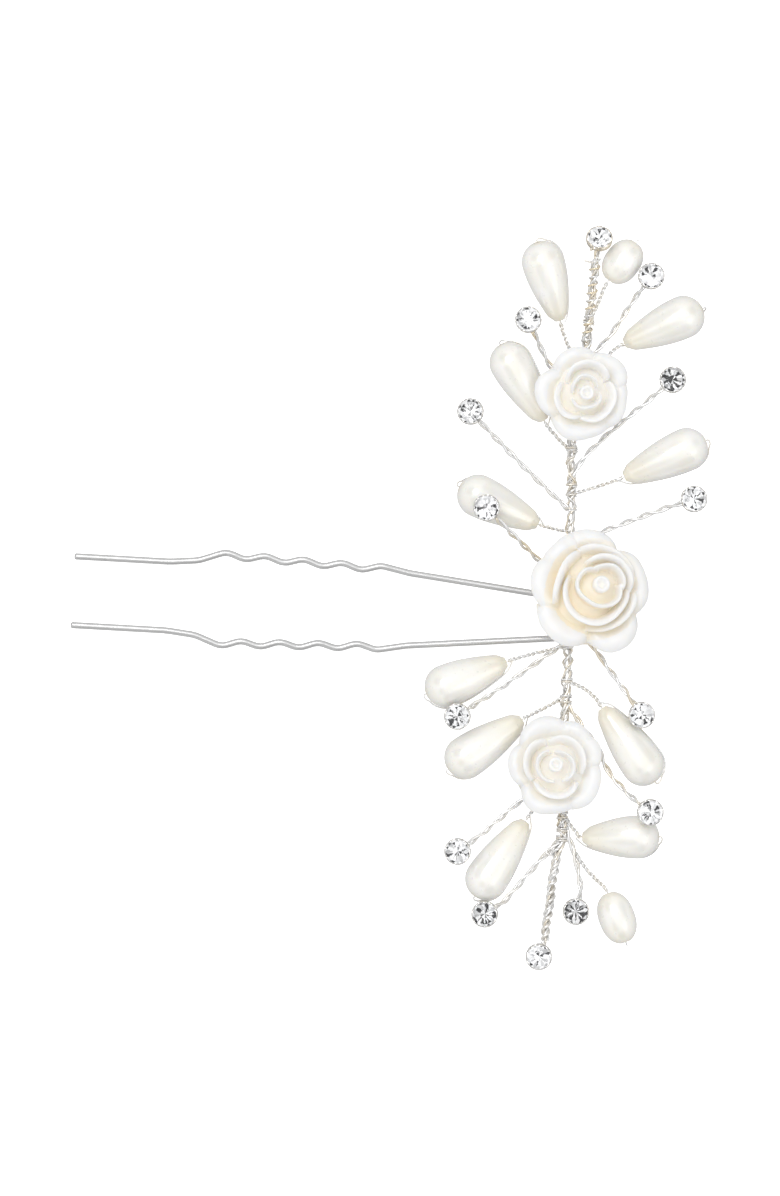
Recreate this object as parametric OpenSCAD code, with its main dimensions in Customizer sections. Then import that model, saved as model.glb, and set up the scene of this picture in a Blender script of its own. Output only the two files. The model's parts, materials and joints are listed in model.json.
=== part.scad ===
// Flower hair clip: a two-prong wavy hairpin that carries a wired spray of
// three resin roses, twelve pearls and fourteen crystals set in metal cups.
//
// Frame, in millimetres: the origin is the centre of the pin's round bow,
// -X runs along the prongs to their tips, +Y runs up the spray's wire spine,
// and +Z points out of the flowers' faces. The pin's wire lies at z = 0.

/* [Pin] */
// Diameter of the pin's wire
pin_wire_d = 1.0; // [0.8:0.1:1.1]
// Radius of the round bow, to the wire's centre
bow_r = 3.1; // [2.9:0.1:3.3]
// Distance from the bow's centre to the prong tips
prong_len = 75; // [72:1:90]
// Angle at which each prong leaves the bow, in degrees
prong_splay = 6; // [5:0.5:6.5]
// Distance from the middle line to each straight tip
tip_y = 5.3; // [5.0:0.1:5.6]
// Number of waves in each prong
wave_count = 5; // [3:1:5]
// Length of one wave along the prong
wave_pitch = 5.95; // [5.6:0.05:6.1]
// Height of one wave before its corners are rounded
wave_height = 1.0; // [0.7:0.1:1.1]

/* [Roses] */
// Width of the large rose
big_rose_w = 18.8; // [17:0.2:19.2]
// Height of the large rose
big_rose_h = 8.4; // [7:0.2:9]
// Width of each small rose
small_rose_w = 14; // [12.6:0.2:14.4]
// Height of each small rose
small_rose_h = 6.4; // [5.4:0.2:7]

/* [Pearls] */
// Largest diameter of a teardrop pearl
drop_d = 6.6; // [6.2:0.1:6.8]
// Diameter of a teardrop pearl's narrow end
drop_neck_d = 2.9; // [2.6:0.1:3.2]
// Diameter of a rice pearl
rice_d = 5.6; // [5.2:0.1:5.8]
// Diameter of the hole through every pearl
pearl_hole_d = 0.9; // [0.8:0.05:1.1]

/* [Crystals] */
// Diameter of a crystal
crystal_d = 3.8; // [3.4:0.1:3.9]
// Depth of a crystal's pointed back, below its widest edge
crystal_back = 1.35; // [1.1:0.05:1.5]
// Gap between a crystal and its cup
cup_gap = 0.06; // [0.04:0.01:0.08]

/* [Wires] */
// Diameter of the spine's wire bundle
spine_d = 1.1; // [0.9:0.05:1.15]
// Diameter of a crystal's twisted stem
crystal_stem_d = 0.6; // [0.5:0.05:0.7]
// Diameter of a pearl's twisted stem
pearl_stem_d = 0.45; // [0.4:0.05:0.55]
// Diameter of the single strand threaded through a pearl
strand_d = 0.26; // [0.2:0.02:0.3]

/* [Hidden] */

$fn = 40;

// Colours
STEEL = [0.78, 0.78, 0.8];
SILVER = [0.8, 0.79, 0.77];
RESIN = [0.96, 0.94, 0.9];
PEARL = [0.93, 0.9, 0.83];
GLASS = [0.86, 0.9, 0.95, 0.6];
GLUE = [0.9, 0.88, 0.82];

// Where each prong starts, just left of the bow's short straight stubs
bow_end_x = -1.5;
prong_gap = 0.1;

// Spine routes, from the pin's bow outwards
SPINE_Z = 1.15;
spine_up_route = [
    [0.9, -0.4, SPINE_Z], [0.8, 4.5, SPINE_Z], [0.8, 13.5, SPINE_Z], [0.5, 22.5, SPINE_Z],
    [0.4, 27.5, SPINE_Z], [1, 34.8, SPINE_Z], [1.6, 42, 1.3], [2, 48.7, 2], [2.4, 55.8, 3.6]
];
spine_down_route = [
    [0.9, -0.4, SPINE_Z], [1.4, -5, SPINE_Z], [1.6, -12.5, SPINE_Z], [1.4, -22.5, SPINE_Z],
    [2, -29.5, SPINE_Z], [2.1, -34, 1.2], [1.2, -38.3, 1.4], [0.7, -43.5, 1.7], [0.3, -49.9, 2.2]
];

// Roses: [centre of the flat back, direction of the lean, lean in degrees, first petal's turn]
BIG_ROSE_AT = [[3.5, 3.6, 3.2], 37, 13, 20];
UPPER_ROSE_AT = [[0.9, 34.7, 2.5], 5, 7, 65];
LOWER_ROSE_AT = [[0.1, -23.5, 2.5], 75, 7, 110];

// Teardrop pearls: [narrow end, wide end, side of the outer strand, stem route to the spine]
DROPS = [
    [[-2.6, 45.7, 2.2], [-6.8, 57.5, 4.6], 200, [[-2.2, 44.4, 2], [-0.8, 41.4, 1.4], [1.2, 39.4, 1.1]]],
    [[7.5, 42.7, 2.4], [19.2, 48.7, 4.2], 250, [[6.3, 41.9, 2.1], [4.6, 40.4, 1.5], [1.4, 38.2, 1.1]]],
    [[-4.2, 30.2, 1.9], [-11.6, 41.5, 3.2], 160, [[-3.4, 29.1, 1.7], [-1.5, 27.2, 1.4], [-0.1, 26, 1.1]]],
    [[8.6, 22.2, 2.4], [20.9, 28.5, 3.2], 200, [[7.2, 21.5, 2.2], [3.6, 20.1, 1.6], [0.2, 18.9, 1.1]]],
    [[-4.2, 14.2, 2.2], [-16.7, 19.3, 3.1], 220, [[-3, 13.9, 2], [-1.4, 13.6, 1.5], [0.7, 13.3, 1.1]]],
    [[-7.9, -7.2, 2.5], [-20, -12.8, 3.5], 350, [[-6.4, -6.6, 2.3], [-3.4, -5.6, 1.8], [1.3, -4.3, 1.1]]],
    [[-5, -15.9, 2.4], [-16, -24.2, 3.2], 340, [[-3.8, -15.2, 2.1], [-1, -13.6, 1.5], [1.6, -11.9, 1.1]]],
    [[7.2, -13.5, 2.6], [16, -24.4, 3.4], 350, [[6.1, -12, 2.4], [4.2, -10.6, 1.8], [1.5, -9.6, 1.1]]],
    [[5.3, -33.5, 2], [17.1, -32.7, 3.4], 200, [[4.3, -32.8, 1.8], [3.1, -31.4, 1.4], [2, -29.8, 1.1]]],
    [[-3.6, -31.5, 2.2], [-10.8, -43.5, 3.1], 340, [[-2.9, -30.3, 2], [-1, -28.2, 1.4], [1.7, -26.6, 1.1]]]
];

// Rice pearls, in the same form
RICES = [
    [[4.5, 52.1, 2.9], [8.5, 58.3, 3.2], 270, [[3.9, 51, 2.7], [3.1, 48.6, 2.3], [1.8, 45.6, 1.6]]],
    [[9.6, -41.7, 2.8], [12.9, -49.3, 3.1], 270, [[8.9, -40.8, 2.6], [5.8, -37.9, 1.9], [2.1, -32.4, 1.2]]]
];

// Crystals: [centre of the widest edge, direction of the lean, lean in degrees, stem route]
CRYSTALS = [
    [[2.7, 58.6, 5.2], 92, 28, [[2.5, 57.3, 3.6], [2.4, 55.6, 3.4]]],
    [[-7.5, 45.5, 4.4], 120, 8, [[-5.6, 41.9, 2.4], [-3.4, 38.4, 1.4], [0.8, 36, 1.1]]],
    [[11, 53.2, 5.2], 60, 6, [[8.3, 49, 3.2], [4.8, 43.2, 1.9], [1.5, 39.6, 1.1]]],
    [[-15.6, 30.9, 4.6], 150, 8, [[-11.4, 27, 2.9], [-6, 22.1, 1.8], [0.3, 16.8, 1.1]]],
    [[15.2, 37.5, 4.4], 30, 6, [[11, 33.5, 2.8], [6, 28.9, 1.7], [2, 24.4, 1.3], [0.3, 20.6, 1.1]]],
    [[-12.3, 16.2, 8], 200, 6, [[-9.7, 13.8, 6.2], [-6.9, 11.4, 3.8], [-3.6, 8.6, 1.6], [0.6, 6.6, 1.1]]],
    [[19.5, 19.4, 4.2], 20, 6, [[15.4, 17.8, 2.8], [10.4, 15.7, 2], [5.5, 13.5, 1.5], [0.5, 11, 1.1]]],
    [[-15, -16, 5.9], 220, 8, [[-12.2, -13.9, 4], [-8.6, -11.3, 2.4], [-4.2, -7.9, 1.6], [1.3, -3.4, 1.1]]],
    [[13.3, -14.2, 5.4], 330, 6, [[10.7, -10.8, 3.4], [7.6, -7, 2.2], [4.6, -3.4, 1.6], [1.2, -1.4, 1.1]]],
    [[15.4, -29, 7.2], 320, 8, [[11.8, -26.3, 4.9], [8.8, -23.2, 3], [7, -19.8, 2], [4.3, -16.4, 1.5], [1.6, -12.9, 1.1]]],
    [[-13.8, -36.7, 4.6], 220, 8, [[-10.5, -34.1, 3], [-7.3, -31.1, 2.1], [-4.4, -28.5, 1.5], [1.5, -24.6, 1.1]]],
    [[-9.1, -46.1, 4.4], 230, 8, [[-6, -43.8, 2.8], [-2.6, -39.5, 1.8], [0, -36.3, 1.4], [2.1, -33.8, 1.2]]],
    [[-0.4, -52.2, 3.8], 265, 10, [[0, -51, 2.6], [0.3, -49.8, 2.2]]],
    [[4.9, -44.9, 4.6], 300, 6, [[5.5, -41.6, 3], [4.8, -38.1, 2], [3.3, -33.6, 1.4], [2, -30.8, 1.1]]]
];
UPPER_CRYSTALS = 7;

// ---------- vectors and curves ----------

function unit(v) = v / norm(v);
function last(list) = list[len(list) - 1];
function square_to(v, axis) = unit(v - (v * axis) * axis);

// Unit direction that leans from +Z by lean degrees towards the bearing
function lean_dir(bearing, lean) =
    [sin(lean) * cos(bearing), sin(lean) * sin(bearing), cos(lean)];

// Two unit vectors across an axis; the first stays as level as it can
function cross_x(axis) = unit(cross([0, 0, 1], axis + [0.001, 0, 0]));
function cross_y(axis) = unit(cross(axis, square_to(cross_x(axis), axis)));

// Catmull-Rom curve through points, with n steps on each stretch
function curve_point(a, b, c, d, t) =
    0.5 * (2 * b + (c - a) * t + (2 * a - 5 * b + 4 * c - d) * t * t
           + (3 * b - a - 3 * c + d) * t * t * t);
function curve(p, n) = concat(
    [for (i = [0 : len(p) - 2], k = [0 : n - 1])
        curve_point(p[max(i - 1, 0)], p[i], p[i + 1], p[min(i + 2, len(p) - 1)], k / n)],
    [last(p)]);

// Direction of a route at point i
function heading(p, i) = unit(p[min(i + 1, len(p) - 1)] - p[max(i - 1, 0)]);

// Side vectors along a route, each turned as little as possible from the one before
function side_dirs(p, seed) = [
    for (i = 0, u = square_to(seed, heading(p, 0)); i < len(p);
         i = i + 1, u = square_to(u, heading(p, min(i, len(p) - 1))))
    u];

// ---------- general shapes ----------

// Places children with +Z along the line from one point to another
module along(from, to) {
    d = to - from;
    translate(from)
        rotate([0, acos(d[2] / norm(d)), atan2(d[1], d[0])])
            children();
}

// Round tube swept along a route; r is one radius or one for each point
module tube(route, r, sides = 6, seed = [0.3, 0.1, 1]) {
    u = side_dirs(route, seed);
    n = len(route);
    points = [for (i = [0 : n - 1], k = [0 : sides - 1])
        let (v = cross(heading(route, i), u[i]), a = 360 * k / sides,
             radius = is_list(r) ? r[i] : r)
        route[i] + radius * (cos(a) * u[i] + sin(a) * v)];
    skin = [for (i = [0 : n - 2], k = [0 : sides - 1])
        let (k2 = (k + 1) % sides)
        [i * sides + k, (i + 1) * sides + k, (i + 1) * sides + k2, i * sides + k2]];
    start_cap = [for (k = [0 : sides - 1]) k];
    end_cap = [for (k = [sides - 1 : -1 : 0]) (n - 1) * sides + k];
    polyhedron(points, concat([start_cap], skin, [end_cap]), convexity = 8);
}

// Closed ring of wire along a flat loop with the given normal
module ring(loop, r, normal, sides = 6) {
    n = len(loop);
    points = [for (i = [0 : n - 1], k = [0 : sides - 1])
        let (t = unit(loop[(i + 1) % n] - loop[(i + n - 1) % n]),
             v = cross(t, normal), a = 360 * k / sides)
        loop[i] + r * (cos(a) * normal + sin(a) * v)];
    skin = [for (i = [0 : n - 1], k = [0 : sides - 1])
        let (k2 = (k + 1) % sides, i2 = (i + 1) % n)
        [i * sides + k, i2 * sides + k, i2 * sides + k2, i * sides + k2]];
    polyhedron(points, skin, convexity = 8);
}

// ---------- pin ----------

// Flat wire with straight stretches and round corners, in the XY plane. The
// corners are a hair thinner and run a little way into the straights.
CORNER_THINNER = 0.03;
CORNER_OVERLAP = 0.15;
module bent_wire(points, corner_r, wire_d) {
    n = len(points);
    reach = [for (i = [0 : n - 1]) i == 0 || i == n - 1 ? 0
        : corner_r[i] * tan(turn_at(points, i) / 2)];
    for (i = [0 : n - 2]) {
        d = unit(points[i + 1] - points[i]);
        from = points[i] + d * reach[i];
        to = points[i + 1] - d * reach[i + 1];
        along([from[0], from[1], 0], [to[0], to[1], 0])
            cylinder(h = norm(to - from), d = wire_d);
    }
    for (i = [1 : n - 2]) {
        d = unit(points[i] - points[i - 1]);
        next = points[i + 1] - points[i];
        left = d[0] * next[1] - d[1] * next[0] > 0;
        side = left ? [-d[1], d[0]] : [d[1], -d[0]];
        centre = points[i] - d * reach[i] + side * corner_r[i];
        bearing = atan2(-side[1], -side[0]);
        turn = turn_at(points, i);
        extra = CORNER_OVERLAP / corner_r[i] * 180 / PI;
        translate([centre[0], centre[1], 0])
            rotate([0, 0, (left ? bearing : bearing - turn) - extra])
                rotate_extrude(angle = turn + 2 * extra)
                    translate([corner_r[i], 0]) circle(d = wire_d - CORNER_THINNER);
    }
}
function turn_at(p, i) =
    acos(max(-1, min(1, unit(p[i] - p[i - 1]) * unit(p[i + 1] - p[i]))));

// The straight line that a prong follows as it leaves the bow
splay_start = bow_r * [sin(prong_splay), cos(prong_splay)];
function splay_point(x) = [x, splay_start[1] + (splay_start[0] - x) * tan(prong_splay)];

// Corners of the upper prong, from the bow to the tip
first_crest_x = -28;
WAVE_MEAN_Y = 6.0;
WAVE_DRIFT = 0.2;
function wave_crest(i) =
    [first_crest_x - i * wave_pitch, WAVE_MEAN_Y + i * WAVE_DRIFT + wave_height / 2];
function wave_trough(i) =
    [first_crest_x - (i + 0.5) * wave_pitch, WAVE_MEAN_Y + (i + 0.5) * WAVE_DRIFT - wave_height / 2];
last_crest = wave_crest(wave_count - 1);
prong_corners = concat(
    [splay_point(bow_end_x - prong_gap), splay_point(first_crest_x + 4.6)],
    [for (i = [0 : wave_count - 1]) each i < wave_count - 1
        ? [wave_crest(i), wave_trough(i)] : [wave_crest(i)]],
    [[last_crest[0] - 4.2, tip_y + 0.45], [last_crest[0] - 8.6, tip_y], [-prong_len, tip_y]]);
WAVE_CORNER_R = 2.8;
prong_radii = concat([0, 8], [for (i = [0 : 2 * wave_count - 2]) WAVE_CORNER_R], [6, 16, 0]);

module pin_bow() color(STEEL) {
    half_turn = 90 - prong_splay;
    extra = CORNER_OVERLAP / bow_r * 180 / PI;
    rotate([0, 0, -half_turn - extra])
        rotate_extrude(angle = 2 * (half_turn + extra))
            translate([bow_r, 0]) circle(d = pin_wire_d - CORNER_THINNER);
    stub = splay_point(bow_end_x);
    for (s = [-1, 1])
        along([splay_start[0], s * splay_start[1], 0], [stub[0], s * stub[1], 0])
            cylinder(h = norm(stub - splay_start), d = pin_wire_d);
}
module upper_prong() color(STEEL) bent_wire(prong_corners, prong_radii, pin_wire_d);
module lower_prong() color(STEEL) mirror([0, 1, 0]) bent_wire(prong_corners, prong_radii, pin_wire_d);

// ---------- spine, wraps and binding ----------

module spine_upper() color(SILVER) tube(curve(spine_up_route, 3), spine_d / 2, 8);
module spine_lower() color(SILVER) tube(curve(spine_down_route, 3), spine_d / 2, 8);

// Coil of wire around a straight stretch of spine
module coil_wrap(from, to, coil_r, turns, wire_d) {
    steps = 10;
    axis = unit(to - from);
    a = cross_x(axis);
    b = cross(axis, a);
    route = [for (i = [0 : turns * steps])
        from + (to - from) * i / (turns * steps)
            + coil_r * (cos(360 * i / steps) * a + sin(360 * i / steps) * b)];
    tube(route, wire_d / 2, 6, axis);
}
WRAP_WIRE_D = 0.34;
wrap_r = spine_d / 2 + WRAP_WIRE_D / 2 + 0.02;
module top_wrap() color(SILVER)
    coil_wrap([1.75, 44.2, 1.5], [2.3, 54.4, 3.25], wrap_r, 7, WRAP_WIRE_D);
module bottom_wrap() color(SILVER)
    coil_wrap([1.35, -37.6, 1.37], [0.45, -48.2, 2.03], wrap_r, 6, WRAP_WIRE_D);

// Lashing where the spine crosses the bow: crossed loops round both wires
BINDING_WIRE_D = 0.3;
module bow_binding() color(SILVER)
    for (s = [-1, 1]) {
        bearing = s * 74;
        centre = [bow_r * cos(bearing), bow_r * sin(bearing), SPINE_Z / 2];
        for (slant = [-45, 45]) {
            out = [cos(slant), sin(slant), 0];
            half_h = (SPINE_Z + spine_d / 2 + pin_wire_d / 2) / 2 + 0.17;
            loop = [for (k = [0 : 15])
                centre + 0.95 * cos(22.5 * k) * out + [0, 0, 0.02 + half_h * sin(22.5 * k)]];
            ring(loop, BINDING_WIRE_D / 2, cross(out, [0, 0, 1]));
        }
    }

// ---------- roses ----------

// Rise of the petal rings from the flat back: [radius, height] as parts of the whole
ROSE_PROFILE = [
    [0.42, 0], [0.6, 0.1], [0.82, 0.34], [0.97, 0.5], [1, 0.56], [0.93, 0.58],
    [0.84, 0.5], [0.78, 0.66], [0.71, 0.75], [0.64, 0.62], [0.57, 0.8], [0.5, 0.88],
    [0.42, 0.72], [0.35, 0.9], [0.28, 0.97], [0.2, 0.84], [0.13, 0.96], [0.06, 1]
];
ROSE_LOBES = 5;
module rose_body(w, h, first_turn) {
    sides = 40;
    n = len(ROSE_PROFILE);
    points = [for (i = [0 : n - 1], k = [0 : sides - 1])
        let (a = 360 * k / sides,
             lobe = 0.035 * cos(ROSE_LOBES * (a - first_turn) + 75 * floor(i / 3)),
             radius = w / 2 * ROSE_PROFILE[i][0] * (1 + (i > 1 ? lobe : 0)) / 1.02)
        [radius * cos(a), radius * sin(a), h * ROSE_PROFILE[i][1]]];
    skin = [for (i = [0 : n - 2], k = [0 : sides - 1])
        let (k2 = (k + 1) % sides)
        [i * sides + k, (i + 1) * sides + k, (i + 1) * sides + k2, i * sides + k2]];
    back = [for (k = [0 : sides - 1]) k];
    top = [for (k = [sides - 1 : -1 : 0]) (n - 1) * sides + k];
    polyhedron(points, concat([back], skin, [top]), convexity = 8);
}
module rose_at(where, w, h)
    color(RESIN)
        along(where[0], where[0] + lean_dir(where[1], where[2]))
            rose_body(w, h, where[3]);
module rose_center() rose_at(BIG_ROSE_AT, big_rose_w, big_rose_h);
module rose_upper() rose_at(UPPER_ROSE_AT, small_rose_w, small_rose_h);
module rose_lower() rose_at(LOWER_ROSE_AT, small_rose_w, small_rose_h);

// Pad of clear glue between the spine's wires and a rose's flat back
GLUE_BOTTOM_Z = 0.7;
module glue_pad(where, d, x) color(GLUE)
    difference() {
        translate([x, where[0][1], GLUE_BOTTOM_Z]) cylinder(h = where[0][2] + 2, d = d);
        along(where[0], where[0] + lean_dir(where[1], where[2]))
            translate([-20, -20, 0]) cube([40, 40, 20]);
    }
module glue_pad_center() glue_pad(BIG_ROSE_AT, 5.6, 2.9);
module glue_pad_upper() glue_pad(UPPER_ROSE_AT, 4.4, 0.9);
module glue_pad_lower() glue_pad(LOWER_ROSE_AT, 4.4, 0.9);

// ---------- pearls and their stems ----------

hole_r = pearl_hole_d / 2;

// Radius of a teardrop pearl at a distance t from its narrow end
function drop_side_r(t, length) =
    let (r = drop_d / 2, wide_t = length - r)
    t > wide_t ? sqrt(max(0, r * r - pow(t - wide_t, 2)))
        : drop_neck_d / 2 + (r - drop_neck_d / 2) * sin(90 * max(0, t - 0.5) / (wide_t - 0.5));
// Radius of a rice pearl at a distance t from its end
function rice_side_r(t, length) =
    rice_d / 2 * pow(max(0, 1 - pow(abs(2 * t / length - 1), 2.4)), 0.5);

// Half outline of a teardrop pearl, with the hole's wall as its inner edge
function drop_outline(length) =
    let (r = drop_d / 2, neck_r = drop_neck_d / 2, wide_t = length - r, end_a = acos(hole_r / r))
    concat(
        [[hole_r, 0], [neck_r - 0.4, 0], [neck_r - 0.12, 0.14], [neck_r, 0.5]],
        [for (k = [1 : 8]) let (t = 0.5 + (wide_t - 0.5) * k / 8) [drop_side_r(t, length), t]],
        [for (k = [1 : 9]) [r * cos(end_a * k / 9), wide_t + r * sin(end_a * k / 9)]]);
function rice_outline(length) =
    let (steps = 14)
    [for (k = [0 : steps])
        let (t = length * (1 - cos(180 * (0.04 + 0.92 * k / steps))) / 2)
        [k == 0 || k == steps ? hole_r : rice_side_r(t, length), t]];

module pearl(where, outline) color(PEARL)
    along(where[0], where[1]) rotate_extrude() polygon(outline);
module drop_pearl(i) {
    where = DROPS[i];
    pearl(where, drop_outline(norm(where[1] - where[0])));
}
module rice_pearl(i) {
    where = RICES[i];
    pearl(where, rice_outline(norm(where[1] - where[0])));
}

// Wire of one pearl: twisted stem, then one strand through the hole, round a
// small loop at the far end and back along the outside to the near end. Both
// routes below are [distance along the pearl, distance from its axis].
STRAND_GAP = 0.16;
strand_out = STRAND_GAP + strand_d / 2;
function drop_return(length) =
    let (r = drop_d / 2, wide_t = length - r)
    concat(
        [for (a = [64, 44, 24, 4]) [wide_t + (r + strand_out) * sin(a), (r + strand_out) * cos(a)]],
        [for (part = [0.76, 0.54, 0.32, 0.12]) [wide_t * part, drop_side_r(wide_t * part, length) + strand_out]]);
function rice_return(length) =
    [for (a = [56, 38, 20, 0, -20, -38, -56])
        [length / 2 + (length / 2 + strand_out) * sin(a), (rice_d / 2 + strand_out) * pow(cos(a), 0.8)]];
function strand_route(where, is_drop) =
    let (length = norm(where[1] - where[0]),
         axis = unit(where[1] - where[0]),
         out = cos(where[2]) * cross_x(axis) + sin(where[2]) * cross_y(axis),
         flat = concat(
            [[-0.45, 0], [0.3, 0], [length - 0.2, 0], [length + 0.35, 0.02],
             [length + 0.72, 0.3], [length + 0.6, 0.75]],
            is_drop ? drop_return(length) : rice_return(length),
            is_drop ? [[-0.05, 1.64], [-0.5, 1.2], [-0.85, 0.62]] : [[-0.35, 0.9], [-0.8, 0.62]]))
    [for (p = flat) where[0] + axis * p[0] + out * p[1]];
module pearl_stem(where, is_drop) color(SILVER) {
    stem = curve(concat([for (i = [2 : -1 : 0]) where[3][i]], [strand_route(where, is_drop)[0]]), 3);
    strand = strand_route(where, is_drop);
    radii = concat([for (i = [0 : len(stem) - 2]) pearl_stem_d / 2],
                   [for (i = [0 : len(strand) - 1]) strand_d / 2]);
    tube(concat([for (i = [0 : len(stem) - 2]) stem[i]], strand), radii, 6);
}

// ---------- crystals, cups and their stems ----------

crystal_r = crystal_d / 2;
TABLE_R = 0.6;
CROWN_H = 0.62;
GIRDLE_H = 0.06;

// Pointed-back crystal: an eight-sided table, kite facets, a thin edge and a point
module cut_stone() {
    table = [for (k = [0 : 7]) [TABLE_R * crystal_r * cos(45 * k), TABLE_R * crystal_r * sin(45 * k), CROWN_H]];
    edge_top = [for (k = [0 : 15]) [crystal_r * cos(22.5 * k), crystal_r * sin(22.5 * k), GIRDLE_H]];
    edge_low = [for (k = [0 : 15]) [crystal_r * cos(22.5 * k), crystal_r * sin(22.5 * k), -GIRDLE_H]];
    crown = [for (k = [0 : 7]) each
        [[8 + 2 * k, k, 8 + (2 * k + 1) % 16],
         [8 + (2 * k + 1) % 16, k, (k + 1) % 8],
         [8 + (2 * k + 1) % 16, (k + 1) % 8, 8 + (2 * k + 2) % 16]]];
    edge = [for (k = [0 : 15]) [8 + k, 8 + (k + 1) % 16, 24 + (k + 1) % 16, 24 + k]];
    back = [for (k = [0 : 15]) [24 + k, 24 + (k + 1) % 16, 40]];
    polyhedron(concat(table, edge_top, edge_low, [[0, 0, -crystal_back]]),
        concat([[for (k = [7 : -1 : 0]) k]], crown, edge, back), convexity = 4);
}

// Thin metal cup with its lip folded over the crystal's edge
CUP_WALL = 0.1;
cup_r = crystal_r + cup_gap + CUP_WALL;
cup_depth = crystal_back + 0.35;
module cup() rotate_extrude() polygon([
    [0, -cup_depth], [cup_r - 0.65, -cup_depth], [cup_r - 0.12, -0.95], [cup_r, -0.7],
    [cup_r, 0.12], [cup_r - 0.14, 0.36], [cup_r - 0.24, 0.3], [cup_r - CUP_WALL, 0.1],
    [cup_r - CUP_WALL, -0.62], [cup_r - 0.75, -cup_depth + CUP_WALL], [0, -cup_depth + CUP_WALL]]);

module set_at(where) along(where[0], where[0] + lean_dir(where[1], where[2])) children();
module crystal(i) color(GLASS) set_at(CRYSTALS[i]) cut_stone();
module cups(from, to) color(SILVER) for (i = [from : to]) set_at(CRYSTALS[i]) cup();

// Point on the outside of a cup that faces the first point of its stem
function cup_side(where) =
    let (n = lean_dir(where[1], where[2]), to_stem = square_to(where[3][0] - where[0], n))
    where[0] + to_stem * (cup_r - 0.01) - n * 0.6;
module crystal_stem(where)
    tube(curve(concat([cup_side(where)], where[3]), 3), crystal_stem_d / 2, 6);
module crystal_stems(from, to) color(SILVER) for (i = [from : to]) crystal_stem(CRYSTALS[i]);

// ---------- nodes ----------

pin_bow();
upper_prong();
lower_prong();
bow_binding();
spine_upper();
spine_lower();
top_wrap();
bottom_wrap();
rose_center();
rose_upper();
rose_lower();
glue_pad_center();
glue_pad_upper();
glue_pad_lower();
drop_pearl(0);  // drop_pearl_1
drop_pearl(1);  // drop_pearl_2
drop_pearl(2);  // drop_pearl_3
drop_pearl(3);  // drop_pearl_4
drop_pearl(4);  // drop_pearl_5
drop_pearl(5);  // drop_pearl_6
drop_pearl(6);  // drop_pearl_7
drop_pearl(7);  // drop_pearl_8
drop_pearl(8);  // drop_pearl_9
drop_pearl(9);  // drop_pearl_10
rice_pearl(0);  // rice_pearl_1
rice_pearl(1);  // rice_pearl_2
pearl_stem(DROPS[0], true);  // drop_stem_1
pearl_stem(DROPS[1], true);  // drop_stem_2
pearl_stem(DROPS[2], true);  // drop_stem_3
pearl_stem(DROPS[3], true);  // drop_stem_4
pearl_stem(DROPS[4], true);  // drop_stem_5
pearl_stem(DROPS[5], true);  // drop_stem_6
pearl_stem(DROPS[6], true);  // drop_stem_7
pearl_stem(DROPS[7], true);  // drop_stem_8
pearl_stem(DROPS[8], true);  // drop_stem_9
pearl_stem(DROPS[9], true);  // drop_stem_10
pearl_stem(RICES[0], false);  // rice_stem_1
pearl_stem(RICES[1], false);  // rice_stem_2
crystal(0);  // crystal_1
crystal(1);  // crystal_2
crystal(2);  // crystal_3
crystal(3);  // crystal_4
crystal(4);  // crystal_5
crystal(5);  // crystal_6
crystal(6);  // crystal_7
crystal(7);  // crystal_8
crystal(8);  // crystal_9
crystal(9);  // crystal_10
crystal(10);  // crystal_11
crystal(11);  // crystal_12
crystal(12);  // crystal_13
crystal(13);  // crystal_14
cups(0, UPPER_CRYSTALS - 1);  // cups_upper
cups(UPPER_CRYSTALS, len(CRYSTALS) - 1);  // cups_lower
crystal_stems(0, UPPER_CRYSTALS - 1);  // crystal_stems_upper
crystal_stems(UPPER_CRYSTALS, len(CRYSTALS) - 1);  // crystal_stems_lower
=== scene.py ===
"""Flower hair clip: the looks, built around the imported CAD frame.

A two-prong wavy hairpin carries a wired spray of three cast resin roses, ten
teardrop pearls, two rice pearls and fourteen crystals in metal cups. Sizes and
places come from the frame; routes repeat the CAD model's own, in millimetres.
"""
import json
import math

import bpy
import numpy as np
from mathutils import Matrix, Vector


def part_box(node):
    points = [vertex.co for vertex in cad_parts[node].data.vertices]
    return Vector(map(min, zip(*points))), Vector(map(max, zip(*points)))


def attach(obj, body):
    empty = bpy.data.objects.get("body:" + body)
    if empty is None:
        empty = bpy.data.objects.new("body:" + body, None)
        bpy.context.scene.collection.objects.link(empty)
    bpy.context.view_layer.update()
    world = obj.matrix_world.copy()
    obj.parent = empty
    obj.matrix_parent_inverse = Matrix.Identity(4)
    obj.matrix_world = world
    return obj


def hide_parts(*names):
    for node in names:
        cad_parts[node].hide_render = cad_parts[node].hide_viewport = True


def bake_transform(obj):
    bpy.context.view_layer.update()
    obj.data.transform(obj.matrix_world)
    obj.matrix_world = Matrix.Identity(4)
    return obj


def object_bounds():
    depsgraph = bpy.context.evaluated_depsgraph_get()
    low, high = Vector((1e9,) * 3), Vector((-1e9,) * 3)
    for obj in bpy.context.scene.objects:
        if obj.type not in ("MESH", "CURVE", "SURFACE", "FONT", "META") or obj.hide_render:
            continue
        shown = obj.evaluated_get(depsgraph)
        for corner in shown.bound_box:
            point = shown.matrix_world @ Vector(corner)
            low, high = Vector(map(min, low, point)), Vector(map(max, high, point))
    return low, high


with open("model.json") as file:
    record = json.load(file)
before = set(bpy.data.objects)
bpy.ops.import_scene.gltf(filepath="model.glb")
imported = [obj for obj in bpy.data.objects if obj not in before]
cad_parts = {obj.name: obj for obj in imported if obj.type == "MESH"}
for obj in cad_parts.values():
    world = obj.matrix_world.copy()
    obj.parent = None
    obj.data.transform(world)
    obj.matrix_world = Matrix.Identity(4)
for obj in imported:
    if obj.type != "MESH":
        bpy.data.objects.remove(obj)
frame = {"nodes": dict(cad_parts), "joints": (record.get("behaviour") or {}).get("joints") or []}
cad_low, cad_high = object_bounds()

MM = 0.001
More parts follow.
